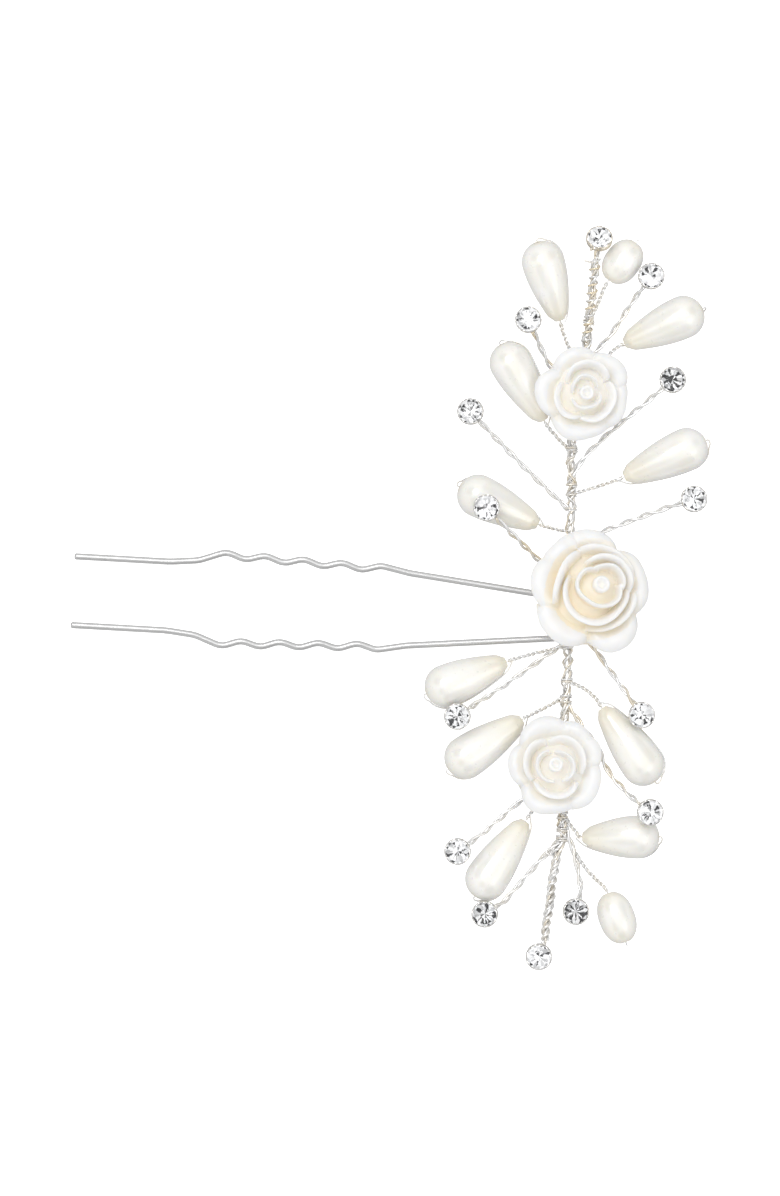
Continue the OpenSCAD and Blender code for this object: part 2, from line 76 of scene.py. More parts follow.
TAU = 2 * math.pi
ROOT = "spray"
JOINTS = {joint["child"]: joint for joint in frame["joints"]}

# ---------------- routes, mm

SPINE_UP = [
    (0.9, -0.4, 1.15), (0.8, 4.5, 1.15), (0.8, 13.5, 1.15), (0.5, 22.5, 1.15),
    (0.4, 27.5, 1.15), (1, 34.8, 1.15), (1.6, 42, 1.3), (2, 48.7, 2), (2.4, 55.8, 3.6),
]
SPINE_DOWN = [
    (0.9, -0.4, 1.15), (1.4, -5, 1.15), (1.6, -12.5, 1.15), (1.4, -22.5, 1.15),
    (2, -29.5, 1.15), (2.1, -34, 1.2), (1.2, -38.3, 1.4), (0.7, -43.5, 1.7), (0.3, -49.9, 2.2),
]
TOP_WRAP = ((1.75, 44.2, 1.5), (2.3, 54.4, 3.25))
BOTTOM_WRAP = ((1.35, -37.6, 1.37), (0.45, -48.2, 2.03))

# Pearl stems: side of the outer strand in degrees, then the route from pearl to spine
DROP_STEMS = [
    (200, [(-2.2, 44.4, 2), (-0.8, 41.4, 1.4), (1.2, 39.4, 1.1)]),
    (250, [(6.3, 41.9, 2.1), (4.6, 40.4, 1.5), (1.4, 38.2, 1.1)]),
    (160, [(-3.4, 29.1, 1.7), (-1.5, 27.2, 1.4), (-0.1, 26, 1.1)]),
    (200, [(7.2, 21.5, 2.2), (3.6, 20.1, 1.6), (0.2, 18.9, 1.1)]),
    (220, [(-3, 13.9, 2), (-1.4, 13.6, 1.5), (0.7, 13.3, 1.1)]),
    (350, [(-6.4, -6.6, 2.3), (-3.4, -5.6, 1.8), (1.3, -4.3, 1.1)]),
    (340, [(-3.8, -15.2, 2.1), (-1, -13.6, 1.5), (1.6, -11.9, 1.1)]),
    (350, [(6.1, -12, 2.4), (4.2, -10.6, 1.8), (1.5, -9.6, 1.1)]),
    (200, [(4.3, -32.8, 1.8), (3.1, -31.4, 1.4), (2, -29.8, 1.1)]),
    (340, [(-2.9, -30.3, 2), (-1, -28.2, 1.4), (1.7, -26.6, 1.1)]),
]
RICE_STEMS = [
    (270, [(3.9, 51, 2.7), (3.1, 48.6, 2.3), (1.8, 45.6, 1.6)]),
    (270, [(8.9, -40.8, 2.6), (5.8, -37.9, 1.9), (2.1, -32.4, 1.2)]),
]
# Crystal stems: share of champagne wire, then the route from cup to spine
CRYSTAL_STEMS = [
    (0.7, [(2.5, 57.3, 3.6), (2.4, 55.6, 3.4)]),
    (0.8, [(-5.6, 41.9, 2.4), (-3.4, 38.4, 1.4), (0.8, 36, 1.1)]),
    (0.3, [(8.3, 49, 3.2), (4.8, 43.2, 1.9), (1.5, 39.6, 1.1)]),
    (0.1, [(-11.4, 27, 2.9), (-6, 22.1, 1.8), (0.3, 16.8, 1.1)]),
    (0.1, [(11, 33.5, 2.8), (6, 28.9, 1.7), (2, 24.4, 1.3), (0.3, 20.6, 1.1)]),
    (0.7, [(-9.7, 13.8, 6.2), (-6.9, 11.4, 3.8), (-3.6, 8.6, 1.6), (0.6, 6.6, 1.1)]),
    (0.1, [(15.4, 17.8, 2.8), (10.4, 15.7, 2), (5.5, 13.5, 1.5), (0.5, 11, 1.1)]),
    (0.2, [(-12.2, -13.9, 4), (-8.6, -11.3, 2.4), (-4.2, -7.9, 1.6), (1.3, -3.4, 1.1)]),
    (0.6, [(10.7, -10.8, 3.4), (7.6, -7, 2.2), (4.6, -3.4, 1.6), (1.2, -1.4, 1.1)]),
    (0.6, [(11.8, -26.3, 4.9), (8.8, -23.2, 3), (7, -19.8, 2), (4.3, -16.4, 1.5), (1.6, -12.9, 1.1)]),
    (0.1, [(-10.5, -34.1, 3), (-7.3, -31.1, 2.1), (-4.4, -28.5, 1.5), (1.5, -24.6, 1.1)]),
    (0.2, [(-6, -43.8, 2.8), (-2.6, -39.5, 1.8), (0, -36.3, 1.4), (2.1, -33.8, 1.2)]),
    (0.2, [(0, -51, 2.6), (0.3, -49.8, 2.2)]),
    (0.2, [(5.5, -41.6, 3), (4.8, -38.1, 2), (3.3, -33.6, 1.4), (2, -30.8, 1.1)]),
]
# The first seven crystals are on the upper half of the spine
HALVES = {"upper": range(7), "lower": range(7, len(CRYSTAL_STEMS))}
# Share of each crystal's back facets painted dark, a painted reflection that looks dark from the front
PAINTED_DARK_SHARE = [0.2, 0.26, 0.2, 0.22, 0.4, 0.14, 0.12, 0.2, 0.18, 0.18, 0.2, 0.32, 0.17, 0.36]

# Roses: centre of the flat back, bearing and size of the lean in degrees, and the bud
# as seen from straight above
ROSES = {
    "rose_center": ((3.5, 3.6, 3.2), 37, 13, (6.0, 5.6)),
    "rose_upper": ((0.9, 34.7, 2.5), 5, 7, (2.1, 34.7)),
    "rose_lower": ((0.1, -23.5, 2.5), 75, 7, (0.5, -22.4)),
}

# ---------------- curves and mesh

# Domed end of a wire: how far it stands out and how wide it is, in wire radii
END_LENGTH, END_WIDTH = 0.35, 0.6
WIRE_SIDES = 8


def unit(v):
    return v / np.linalg.norm(v, axis=-1, keepdims=True)


def distance_along(path):
    return np.concatenate([[0], np.cumsum(np.linalg.norm(np.diff(path, axis=0), axis=1))])


def evenly(path, count):
    """The same line with its points at even distances along it."""
    along = distance_along(path)
    even = np.linspace(0, along[-1], count)
    return np.stack([np.interp(even, along, column) for column in path.T], axis=1)


def spline(points, step):
    """Catmull-Rom curve through points, with its own points about a step apart."""
    p = np.array(points, float)
    p = np.vstack([2 * p[0] - p[1], p, 2 * p[-1] - p[-2]])
    t = np.linspace(0, 1, 24, endpoint=False)[:, None]
    dense = []
    for a, b, c, d in zip(p, p[1:], p[2:], p[3:]):
        dense.append(0.5 * (2 * b + (c - a) * t + (2 * a - 5 * b + 4 * c - d) * t ** 2
                            + (3 * b - a - 3 * c + d) * t ** 3))
    dense = np.vstack(dense + [p[-2:-1]])
    return evenly(dense, max(3, int(round(distance_along(dense)[-1] / step)) + 1))


def frames(path):
    """Heading and two side vectors at each point, turned as little as possible."""
    heading = unit(np.gradient(path, axis=0))
    side = np.empty_like(path)
    start = np.array([0.3, 0.1, 1.0])
    for i, t in enumerate(heading):
        start = start - start.dot(t) * t
        start /= np.linalg.norm(start)
        side[i] = start
    return heading, side, np.cross(heading, side)


def twisted(path, offset, pitch, phase, wander):
    """Route of one strand that winds round a path, a little unevenly."""
    _, a, b = frames(path)
    s = distance_along(path)
    turn = TAU * s / pitch + phase + wander * np.sin(s * 0.9 + phase)
    reach = offset * (1 + 0.25 * wander * np.sin(s * 1.7 + 2 * phase))
    return path + (np.cos(turn) * reach)[:, None] * a + (np.sin(turn) * reach)[:, None] * b


def ring_faces(rows, sides, closed=False):
    """Quads between rings of points; a closed set joins its last ring to its first."""
    return [
        (i * sides + k, i * sides + (k + 1) % sides,
         (i + 1) % rows * sides + (k + 1) % sides, (i + 1) % rows * sides + k)
        for i in range(rows if closed else rows - 1) for k in range(sides)]


def capped_faces(rows, sides):
    """A cap on the first ring, one on the last, and the quads between the rings."""
    first = tuple(range(sides - 1, -1, -1))
    last = tuple((rows - 1) * sides + k for k in range(sides))
    return [first, last] + ring_faces(rows, sides)


class MeshData:
    """Vertices in mm, faces and one tint value for each vertex, gathered from parts."""

    def __init__(self):
        self.verts, self.faces, self.tint, self.count = [], [], [], 0

    def add(self, verts, faces, tint=0.0):
        verts = np.asarray(verts, float)
        self.faces.extend([tuple(i + self.count for i in f) for f in faces])
        self.verts.append(verts)
        self.tint.append(np.broadcast_to(tint, (len(verts),)))
        self.count += len(verts)

    def tube(self, path, radius, sides=WIRE_SIDES, tint=0.0):
        """Round wire along a path, with slightly domed ends."""
        heading, a, b = frames(path)
        n = len(path)
        r = np.broadcast_to(radius, (n,))
        angle = TAU * np.arange(sides) / sides
        ring = np.cos(angle)[None, :, None] * a[:, None] + np.sin(angle)[None, :, None] * b[:, None]
        body = path[:, None] + ring * r[:, None, None]
        start = path[0] - heading[0] * r[0] * END_LENGTH + ring[0] * r[0] * END_WIDTH
        end = path[-1] + heading[-1] * r[-1] * END_LENGTH + ring[-1] * r[-1] * END_WIDTH
        verts = np.vstack([start, body.reshape(-1, 3), end])
        shade = np.broadcast_to(tint, (n,))
        shade = np.concatenate([shade[:1], shade, shade[-1:]])
        self.add(verts, capped_faces(n + 2, sides), np.repeat(shade, sides))

    def lathe(self, outline, origin, axis, sides, tint=0.0):
        """Closed outline of (radius, height) turned about an axis."""
        x, y = across(axis)
        outline = np.array(outline, float)
        angle = TAU * np.arange(sides) / sides
        spoke = np.cos(angle)[:, None] * x + np.sin(angle)[:, None] * y
        verts = (origin + spoke[None] * outline[:, 0, None, None]
                 + np.asarray(axis)[None, None] * outline[:, 1, None, None]).reshape(-1, 3)
        rows = len(outline)
        shade = np.broadcast_to(tint, (rows,))
        self.add(verts, ring_faces(rows, sides, closed=True), np.repeat(shade, sides))

    def build(self, name, look):
        """The gathered parts as one piece with its material."""
        mesh = bpy.data.meshes.new(name)
        mesh.from_pydata((np.vstack(self.verts) * MM).tolist(), [], self.faces)
        layer = mesh.attributes.new("tint", "FLOAT", "POINT")
        layer.data.foreach_set("value", np.concatenate(self.tint).astype(np.float32))
        return finish_mesh(name, mesh, look)


def new_object(name, content):
    """Object that holds a mesh, light or camera, put into the scene."""
    made = bpy.data.objects.new(name, content)
    bpy.context.scene.collection.objects.link(made)
    return made


def finish_mesh(name, mesh, look, smooth=True):
    """Checked mesh as a piece of the scene, with its material and shading."""
    mesh.validate()
    mesh.polygons.foreach_set("use_smooth", [smooth] * len(mesh.polygons))
    mesh.materials.append(look)
    return new_object(name, mesh)


def across(axis):
    """Two unit vectors across an axis; the first is level, as in the CAD model."""
    axis = np.asarray(axis, float)
    x = unit(np.cross([0, 0, 1.0], axis + [0.001, 0, 0]))
    x = unit(x - x.dot(axis) * axis)
    return x, np.cross(axis, x)


def lean_axes(bearing, lean):
    """Axis that leans from +Z, and two vectors across it that keep +X to the right."""
    b, t = math.radians(bearing), math.radians(lean)
    z = np.array([math.sin(t) * math.cos(b), math.sin(t) * math.sin(b), math.cos(t)])
    x = unit(np.array([1.0, 0, 0]) - z[0] * z)
    return x, np.cross(z, x), z


def ride_on(piece, body, slot, *nodes):
    """Ties a piece to its body and hides the CAD nodes that it replaces; slot is not used."""
    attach(piece, body)
    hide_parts(*nodes)


def vertex_values(mesh, key):
    """A three-number property of every vertex of a mesh."""
    values = np.empty(len(mesh.vertices) * 3)
    mesh.vertices.foreach_get(key, values)
    return values.reshape(-1, 3)


def node_points(node):
    """Vertices of a CAD node, in mm."""
    return vertex_values(frame["nodes"][node].data, "co") / MM


# ---------------- materials


def set_inputs(node, inputs):
    """Constants for sockets, whose names have underscores for spaces."""
    for socket, value in inputs.items():
        node.inputs[socket.replace("_", " ")].default_value = value
    return node


def add_node(tree, kind, **inputs):
    return set_inputs(tree.nodes.new("ShaderNode" + kind), inputs)


def material(name, **inputs):
    """Material with its node tree and its Principled shader."""
    made = bpy.data.materials.new(name)
    made.use_nodes = True
    tree = made.node_tree
    return made, tree, set_inputs(tree.nodes["Principled BSDF"], inputs)


def noise(tree, scale, detail, stretch=(1, 1, 1)):
    """Noise in the piece's own coordinates; returns the factor socket."""
    where = add_node(tree, "TexCoord")
    mapping = add_node(tree, "Mapping", Scale=stretch)
    texture = add_node(tree, "TexNoise", Scale=scale, Detail=detail)
    tree.links.new(where.outputs["Object"], mapping.inputs["Vector"])
    tree.links.new(mapping.outputs["Vector"], texture.inputs["Vector"])
    return texture.outputs["Fac"]


def ramp(tree, factor, low, high, from_low=0.0, from_high=1.0):
    """Maps a factor to numbers between low and high."""
    node = add_node(tree, "MapRange", From_Min=from_low, From_Max=from_high, To_Min=low, To_Max=high)
    tree.links.new(factor, node.inputs["Value"])
    return node.outputs["Result"]


def blend_colors(tree, factor, first, second):
    """Colour between two; each is a colour or a socket."""
    node = add_node(tree, "Mix")
    node.data_type = "RGBA"
    tree.links.new(factor, node.inputs["Factor"])
    color_sockets = [s for s in node.inputs if s.type == "RGBA"]
    for socket, value in zip(color_sockets, (first, second)):
        if isinstance(value, tuple):
            socket.default_value = (*value, 1)
        else:
            tree.links.new(value, socket)
    return [s for s in node.outputs if s.type == "RGBA"][0]


def attribute(tree, name):
    """A value that the mesh carries, as a socket."""
    node = add_node(tree, "Attribute")
    node.attribute_name = name
    return node.outputs["Fac"]


def bump(tree, shader, height, distance, strength):
    node = add_node(tree, "Bump", Distance=distance, Strength=strength)
    tree.links.new(height, node.inputs["Height"])
    tree.links.new(node.outputs["Normal"], shader.inputs["Normal"])


def paint(tree, shader, color, roughness):
    """Gives a shader a colour and a roughness that vary over the surface."""
    tree.links.new(color, shader.inputs["Base Color"])
    tree.links.new(roughness, shader.inputs["Roughness"])


def pin_steel():
    made, tree, shader = material("pin_steel", Metallic=0.6)
    drawn = noise(tree, 1300, 4, (0.1, 1, 1))
    streaks = blend_colors(tree, drawn, (0.55, 0.55, 0.55), (0.66, 0.66, 0.66))
    paint(tree, shader, streaks, ramp(tree, drawn, 0.2, 0.34))
    bump(tree, shader, drawn, 0.00001, 0.2)
    return made


def wire_metal():
    made, tree, shader = material("silver_wire", Metallic=0.6)
    patches = noise(tree, 420, 3)
    silver = blend_colors(tree, patches, (0.8, 0.8, 0.8), (0.93, 0.93, 0.93))
    champagne = blend_colors(tree, patches, (0.82, 0.7, 0.5), (0.94, 0.85, 0.68))
    tinted = blend_colors(tree, attribute(tree, "tint"), silver, champagne)
    paint(tree, shader, tinted, ramp(tree, patches, 0.12, 0.32))
    bump(tree, shader, noise(tree, 2500, 2), 0.00001, 0.4)
    return made


def cup_metal():
    made, tree, shader = material("cup_metal", Metallic=1.0)
    worn = noise(tree, 900, 4)
    plated = blend_colors(tree, worn, (0.66, 0.65, 0.64), (0.84, 0.84, 0.83))
    warm = blend_colors(tree, attribute(tree, "tint"), plated, (0.8, 0.66, 0.44))
    paint(tree, shader, warm, ramp(tree, worn, 0.08, 0.24))
    bump(tree, shader, worn, 0.00001, 0.3)
    return made


def pearl_lacquer():
    """Ivory lacquer under a glossy coat, yellower at the neck and the far hole."""
    made, tree, shader = material(
        "pearl_ivory", Metallic=0.06, Coat_Weight=1.0, Coat_Roughness=0.1,
        Coat_IOR=1.95, Subsurface_Weight=0.25, Subsurface_Scale=0.0012, Specular_IOR_Level=0.5,
        Sheen_Weight=0.45, Sheen_Roughness=0.5, Subsurface_Radius=(1.0, 0.8, 0.55))
    cloud = noise(tree, 260, 4, (1, 1, 0.6))
    patches = ramp(tree, cloud, 0, 1, 0.35, 0.65)
    body = blend_colors(tree, patches, (0.94, 0.92, 0.845), (0.975, 0.96, 0.915))
    warmed = blend_colors(tree, attribute(tree, "tint"), body, (0.88, 0.79, 0.59))
    paint(tree, shader, warmed, ramp(tree, noise(tree, 1400, 3), 0.22, 0.38))
    bump(tree, shader, noise(tree, 300, 2), 0.00001, 0.08)
    return made


def cast_resin(name, shade_cream):
    made, tree, shader = material(
        name, Subsurface_Weight=0.55, Subsurface_Scale=0.002,
        Coat_Weight=0.15, Coat_Roughness=0.25, Subsurface_Radius=(1.0, 0.85, 0.65))
    mottle = noise(tree, 240, 5)
    white = blend_colors(tree, mottle, (0.9, 0.89, 0.87), (0.97, 0.965, 0.95))
    # Painted shade: the cream colour is laid over the white where the tint attribute holds the rose's
    # painted hollow shade
    tinted = blend_colors(tree, attribute(tree, "tint"), white, shade_cream)
    paint(tree, shader, tinted, ramp(tree, noise(tree, 1600, 3), 0.34, 0.52))
    bump(tree, shader, noise(tree, 1100, 4), 0.00004, 0.35)
    return made


def stone_glass():
    made, tree, shader = material(
        "crystal_glass", Base_Color=(1, 1, 1, 1), Transmission_Weight=1.0, IOR=1.6)
    tree.links.new(ramp(tree, noise(tree, 2200, 2), 0.0, 0.03), shader.inputs["Roughness"])
    return made


def painted_stone_foil():
    """Mirror foil behind a stone, painted with reflections that glow: each facet's painted shade makes it
    flash or go dark.
    """
    # Painted glow: the foil shines by emission in the colour of its painted reflection, though it is no
    # lamp
    made, tree, shader = material("crystal_foil_painted_glow", Metallic=0.35, Emission_Strength=0.5)
    shade = attribute(tree, "shade")
    grain = noise(tree, 1500, 3)
    bright = blend_colors(tree, grain, (0.9, 0.91, 0.93), (1.0, 1.0, 1.0))
    painted_flash = blend_colors(tree, shade, (0.01, 0.01, 0.012), bright)
    paint(tree, shader, painted_flash, ramp(tree, grain, 0.08, 0.2))
    tree.links.new(painted_flash, shader.inputs["Emission Color"])
    return made


def set_glue():
    made, tree, shader = material("glue", Subsurface_Weight=0.5, Subsurface_Scale=0.002)
    cloud = noise(tree, 500, 4)
    milky = blend_colors(tree, cloud, (0.86, 0.83, 0.75), (0.95, 0.93, 0.88))
    paint(tree, shader, milky, ramp(tree, cloud, 0.2, 0.5))
    bump(tree, shader, cloud, 0.00015, 0.6)
    return made


STEEL = pin_steel()
WIRE = wire_metal()
CUP = cup_metal()
PEARL = pearl_lacquer()
# The second colour of each resin is its painted shade, a warm cream for the hollows
RESIN_BIG = cast_resin("resin_white", (1.0, 0.885, 0.72))
RESIN_SMALL = cast_resin("resin_white_small", (0.985, 0.925, 0.82))
GLASS = stone_glass()
GLOWING_FOIL = painted_stone_foil()
GLUE = set_glue()

# ---------------- pin

PIN_R = 0.5
BOW_R = 3.1
SPLAY = math.radians(6)
TIP_Y = 5.3
FIRST_CREST_X, WAVE_PITCH, WAVES = -28.0, 5.95, 5
WAVE_MEAN_Y, WAVE_DRIFT, WAVE_HEIGHT = 6.0, 0.2, 1.0
# Distances in x from the foot of the waves to the first crest, and from the last crest
# to the two corners that ease into the tip; how far out the first of those lies
FOOT_LENGTH, EASE_LENGTH, TIP_LENGTH, EASE_RISE = 4.6, 4.2, 8.6, 0.45
# Radii at the foot, the crests and troughs, and those two corners
FOOT_RADIUS, WAVE_RADIUS, EASE_RADIUS, TIP_RADIUS = 8, 2.8, 6, 16


def rounded(corners, radii, step):
    """Line with round corners in the XY plane, with its points about a step apart."""
    corners = [np.array(c, float) for c in corners]
    points = [corners[0]]
    for before, here, after, r in zip(corners, corners[1:], corners[2:], radii):
        d_in, d_out = unit(here - before), unit(after - here)
        turn = math.acos(max(-1, min(1, d_in.dot(d_out))))
        reach = r * math.tan(turn / 2)
        left = 1 if d_in[0] * d_out[1] - d_in[1] * d_out[0] > 0 else -1
        centre = here - d_in * reach + left * r * np.array([-d_in[1], d_in[0]])
        start = here - d_in * reach - centre
        for k in range(7):
            a = left * turn * k / 6
            points.append(centre + [start[0] * math.cos(a) - start[1] * math.sin(a),
                                    start[0] * math.sin(a) + start[1] * math.cos(a)])
    points = np.array(points + [corners[-1]])
    return evenly(points, int(distance_along(points)[-1] / step) + 1)


def half_pin(sign):
    """Middle line of one half of the pin, from the middle of the bow to a tip."""
    bearings = np.linspace(0, math.pi / 2 - SPLAY, 30)
    arc = [(BOW_R * math.cos(a), BOW_R * math.sin(a)) for a in bearings]
    crests = [(FIRST_CREST_X - i * WAVE_PITCH, WAVE_MEAN_Y + i * WAVE_DRIFT + WAVE_HEIGHT / 2)
              for i in range(WAVES)]
    troughs = [(FIRST_CREST_X - i * WAVE_PITCH, WAVE_MEAN_Y + i * WAVE_DRIFT - WAVE_HEIGHT / 2)
               for i in np.arange(0.5, WAVES - 1)]
    last_x = crests[-1][0]
    foot_x = FIRST_CREST_X + FOOT_LENGTH
    foot = (foot_x, arc[-1][1] + (arc[-1][0] - foot_x) * math.tan(SPLAY))
    corners = [arc[-1], foot]
    for i, crest in enumerate(crests):
        corners.append(crest)
        corners.extend(troughs[i:i + 1])
    corners += [(last_x - EASE_LENGTH, TIP_Y + EASE_RISE), (last_x - TIP_LENGTH, TIP_Y),
                (cad_low[0] / MM, TIP_Y)]
    radii = [FOOT_RADIUS] + [WAVE_RADIUS] * (2 * WAVES - 1) + [EASE_RADIUS, TIP_RADIUS]
    flat = np.vstack([arc[:-1], rounded(corners, radii, 0.25)])
    return np.stack([flat[:, 0], sign * flat[:, 1], np.zeros(len(flat))], axis=1)


def build_pin():
    """The pin as two halves that meet in the middle of the bow."""
    halves = (("upper", 1, ("pin_bow", "upper_prong")), ("lower", -1, ("lower_prong",)))
    for name, sign, nodes in halves:
        data = MeshData()
        data.tube(half_pin(sign), PIN_R, sides=20)
        piece = data.build(f"pin_{name}_half", STEEL)
        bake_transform(piece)
        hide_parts(*nodes)


# ---------------- roses


# Petals from the inside out: kind, height of the lip above the rose's back in mm, the
# bearings from the bud between which the lip runs in degrees, and the lip's distance
# from the bud at even steps between them in mm, seen from straight above
ROSE_PETALS = {
    "rose_center": [
        ("inner", 8.1, 100, 365, (2.4, 3.6, 4.0, 3.5, 3.6, 3.7, 3.2)),
        ("inner", 7.9, -10, 130, (3.8, 3.7, 3.5, 3.0, 2.9)),
        ("mid", 7.4, -10, 130, (5.0, 4.9, 4.8, 4.6, 4.3)),
        ("mid", 7.2, 165, 360, (5.3, 6.5, 6.5, 5.1, 4.6)),
        ("mid", 6.7, 125, 205, (6.6, 6.8, 7.1, 8.2)),
        ("mid", 6.3, 10, 125, (5.4, 5.5, 5.6, 6.1, 6.9)),
        ("mid", 6.0, -105, -5, (7.7, 7.0, 6.3, 5.8)),
        ("outer", 4.6, 155, 210, (9.7, 10.7, 10.5, 9.3)),
        ("outer", 4.4, -160, -100, (10.6, 11.2, 11.0, 9.4)),
        ("outer", 4.4, -100, -35, (9.2, 10.5, 9.7, 7.0)),
        ("outer", 4.6, -40, 70, (7.3, 7.4, 6.9, 6.7, 6.0)),
        ("outer", 4.4, 65, 130, (5.8, 7.5, 8.6, 9.4)),
        ("outer", 4.6, 120, 160, (9.2, 9.3, 9.5, 10.1)),
    ],
    "rose_upper": [
        ("inner", 6.2, 30, 185, (2.1, 2.6, 2.9, 2.6, 2.4)),
        ("inner", 6.1, -155, 5, (2.7, 2.7, 2.4, 2.5, 2.3)),
        ("mid", 5.6, 35, 155, (4.4, 5.0, 5.0, 4.6, 3.7)),
        ("mid", 5.4, 160, 260, (4.4, 5.1, 5.1, 4.1)),
        ("mid", 5.2, -100, 30, (4.3, 4.7, 4.6, 4.6, 4.3)),
        ("outer", 3.6, 145, 220, (6.3, 7.8, 7.6, 6.6)),
        ("outer", 3.4, 75, 145, (6.0, 7.0, 7.2, 6.8)),
        ("outer", 3.6, 10, 85, (6.2, 7.0, 6.8, 6.3)),
        ("outer", 3.4, -60, 20, (6.4, 6.6, 6.2, 6.5)),
        ("outer", 3.4, -140, -50, (7.0, 7.6, 6.8, 6.5)),
    ],
    "rose_lower": [
        ("inner", 6.2, 115, 270, (2.5, 3.0, 3.1, 3.0, 2.9)),
        ("inner", 6.1, -65, 100, (3.0, 3.1, 2.8, 2.3, 2.2)),
        ("mid", 5.6, 115, 215, (4.5, 5.0, 5.0, 4.8)),
        ("mid", 5.4, -15, 110, (4.6, 4.7, 4.8, 4.6, 4.0)),
        ("mid", 5.2, -140, -35, (4.4, 5.1, 5.3, 4.7)),
        ("outer", 3.6, 155, 215, (6.8, 7.2, 7.1, 6.5)),
        ("outer", 3.4, 75, 155, (6.5, 7.4, 7.4, 6.6)),
        ("outer", 3.4, 35, 85, (6.9, 7.1, 7.1, 6.6)),
        ("outer", 3.6, 0, 45, (6.8, 7.1, 7.3, 6.7)),
        ("outer", 3.4, -70, 5, (7.4, 7.9, 7.4, 6.8)),
        ("outer", 3.4, -145, -60, (6.4, 7.9, 7.5, 7.3)),
    ],
}
# For each kind of petal: foot's distance from the bud as a part of the lip's, powers of
# its spread and its rise, then in mm on the large rose the depth of the foot below the
# lip, drop of the lip's ends, curl of the lip and thickness
PETAL_KINDS = {
    "inner": (0.86, 1.5, 1.5, 2.9, 1.1, 0.05, 0.72),
    "mid": (0.82, 1.5, 1.5, 3.2, 1.7, 0.3, 0.8),
    "outer": (0.56, 1.1, 2.3, 3.0, 1.1, 0.75, 0.85),
}
PETAL_ROWS = 16
# Part of a petal's height at which its lip begins to roll outwards
ROLL_START = 0.62
# Solid heart: height and radius, as parts of the rose's height and half its width
HEART = [
    (0.0, 0.7), (0.04, 0.8), (0.1, 0.84), (0.2, 0.82), (0.3, 0.76), (0.38, 0.68),
    (0.46, 0.58), (0.54, 0.48), (0.62, 0.36), (0.7, 0.24), (0.76, 0.14),
]
# Hollow bud: radius, and height from its own top, in mm on the large rose
BUD = [
    (0.001, -2.4), (1.2, -2.4), (1.32, -1.0), (1.32, -0.35), (1.2, -0.08), (1.0, 0.0),
    (0.8, -0.08), (0.66, -0.35), (0.5, -0.75), (0.001, -0.9),
]
SMALL_BUD = 0.86
# Width and height of the large rose, and of the small ones
BIG_ROSE = (18.6, 8.4)
SMALL_ROSE = (14.0, 6.4)
# Bearing of the side of a rose that gets the least painted shade, the side turned to the light
LIT_SIDE = math.radians(37)
# Hollows on the large rose, in mm: how far off their rim is looked for, and the depths
# at which the painted cream shade begins and over which it grows to full
RIM_REACH, SHADE_START, SHADE_GROWTH = 0.9, 0.5, 1.45


def thickened(sheet, half):
    """Closed skin round a sheet, half a thickness out on each side."""
    rows, columns = sheet.shape[:2]
    normal = unit(np.cross(np.gradient(sheet, axis=1), np.gradient(sheet, axis=0)))
    outer, inner = sheet + normal * half, sheet - normal * half
    size = rows * columns
    faces = []
    for i in range(rows - 1):
        for k in range(columns - 1):
            a = i * columns + k
            b, c, d = a + 1, a + columns + 1, a + columns
            faces.append((a, b, c, d))
            faces.append((size + d, size + c, size + b, size + a))
    edge = (list(range(columns))
            + [i * columns + columns - 1 for i in range(1, rows)]
            + [(rows - 1) * columns + k for k in range(columns - 2, -1, -1)]
            + [i * columns for i in range(rows - 2, 0, -1)])
    for a, b in zip(edge, edge[1:] + edge[:1]):
        faces.append((a, size + a, size + b, b))
    return np.vstack([outer.reshape(-1, 3), inner.reshape(-1, 3)]), faces


def petal(lip, centre, kind, scale):
    """One thick petal, from a foot near the bud to its rolled lip."""
    pull, spread, lift, *sizes = PETAL_KINDS[kind]
    drop, end_drop, curl = (size * scale for size in sizes[:3])
    thick = sizes[3] * scale ** 0.5
    line = spline(lip, 0.35)
    u = np.linspace(-1, 1, len(line))
    v = np.linspace(0, 1, PETAL_ROWS)[:, None]
    ends = np.abs(u) ** 4
    reach = (line[:, :2] - centre) * (1 - 0.05 * ends)[:, None]
    ripple = 0.1 * scale * np.cos(2.6 * math.pi * u)
    lip_z = line[:, 2] - end_drop * ends + ripple
    foot_z = np.maximum(line[:, 2] - drop, 0.3)
    out = pull + (1 - pull) * v ** spread
    rise = 1 - (1 - v) ** lift
    roll = np.clip((v - ROLL_START) / (1 - ROLL_START), 0, 1) ** 2
    plan = centre + out[..., None] * reach[None]
    z = foot_z + (lip_z - foot_z) * rise + 0.35 * curl * np.sin(math.pi * v) - curl * roll
    sheet = np.concatenate([plan, z[..., None]], axis=2)
    half = 0.5 * thick * (1 - 0.25 * v[..., None]) * (1 - 0.35 * ends[None, :, None])
    return thickened(sheet, half)


def add_core(data, centre, half, height):
    """Solid heart that leans from the middle of the back to the bud, and the hollow bud."""
    sides = 40
    verts = []
    for h, r in HEART:
        for k in range(sides):
            a = TAU * k / sides
            verts.append((centre[0] * h + r * half * math.cos(a),
                          centre[1] * h + r * half * math.sin(a), h * height + 0.02))
    data.add(verts, capped_faces(len(HEART), sides))
    top = height - 0.1
    grow = SMALL_BUD if height < BIG_ROSE[1] else 1.0
    outline = [(r * grow, top + h * grow) for r, h in BUD]
    data.lathe(outline, np.array([*centre, 0.0]), np.array([0, 0, 1.0]), 32)


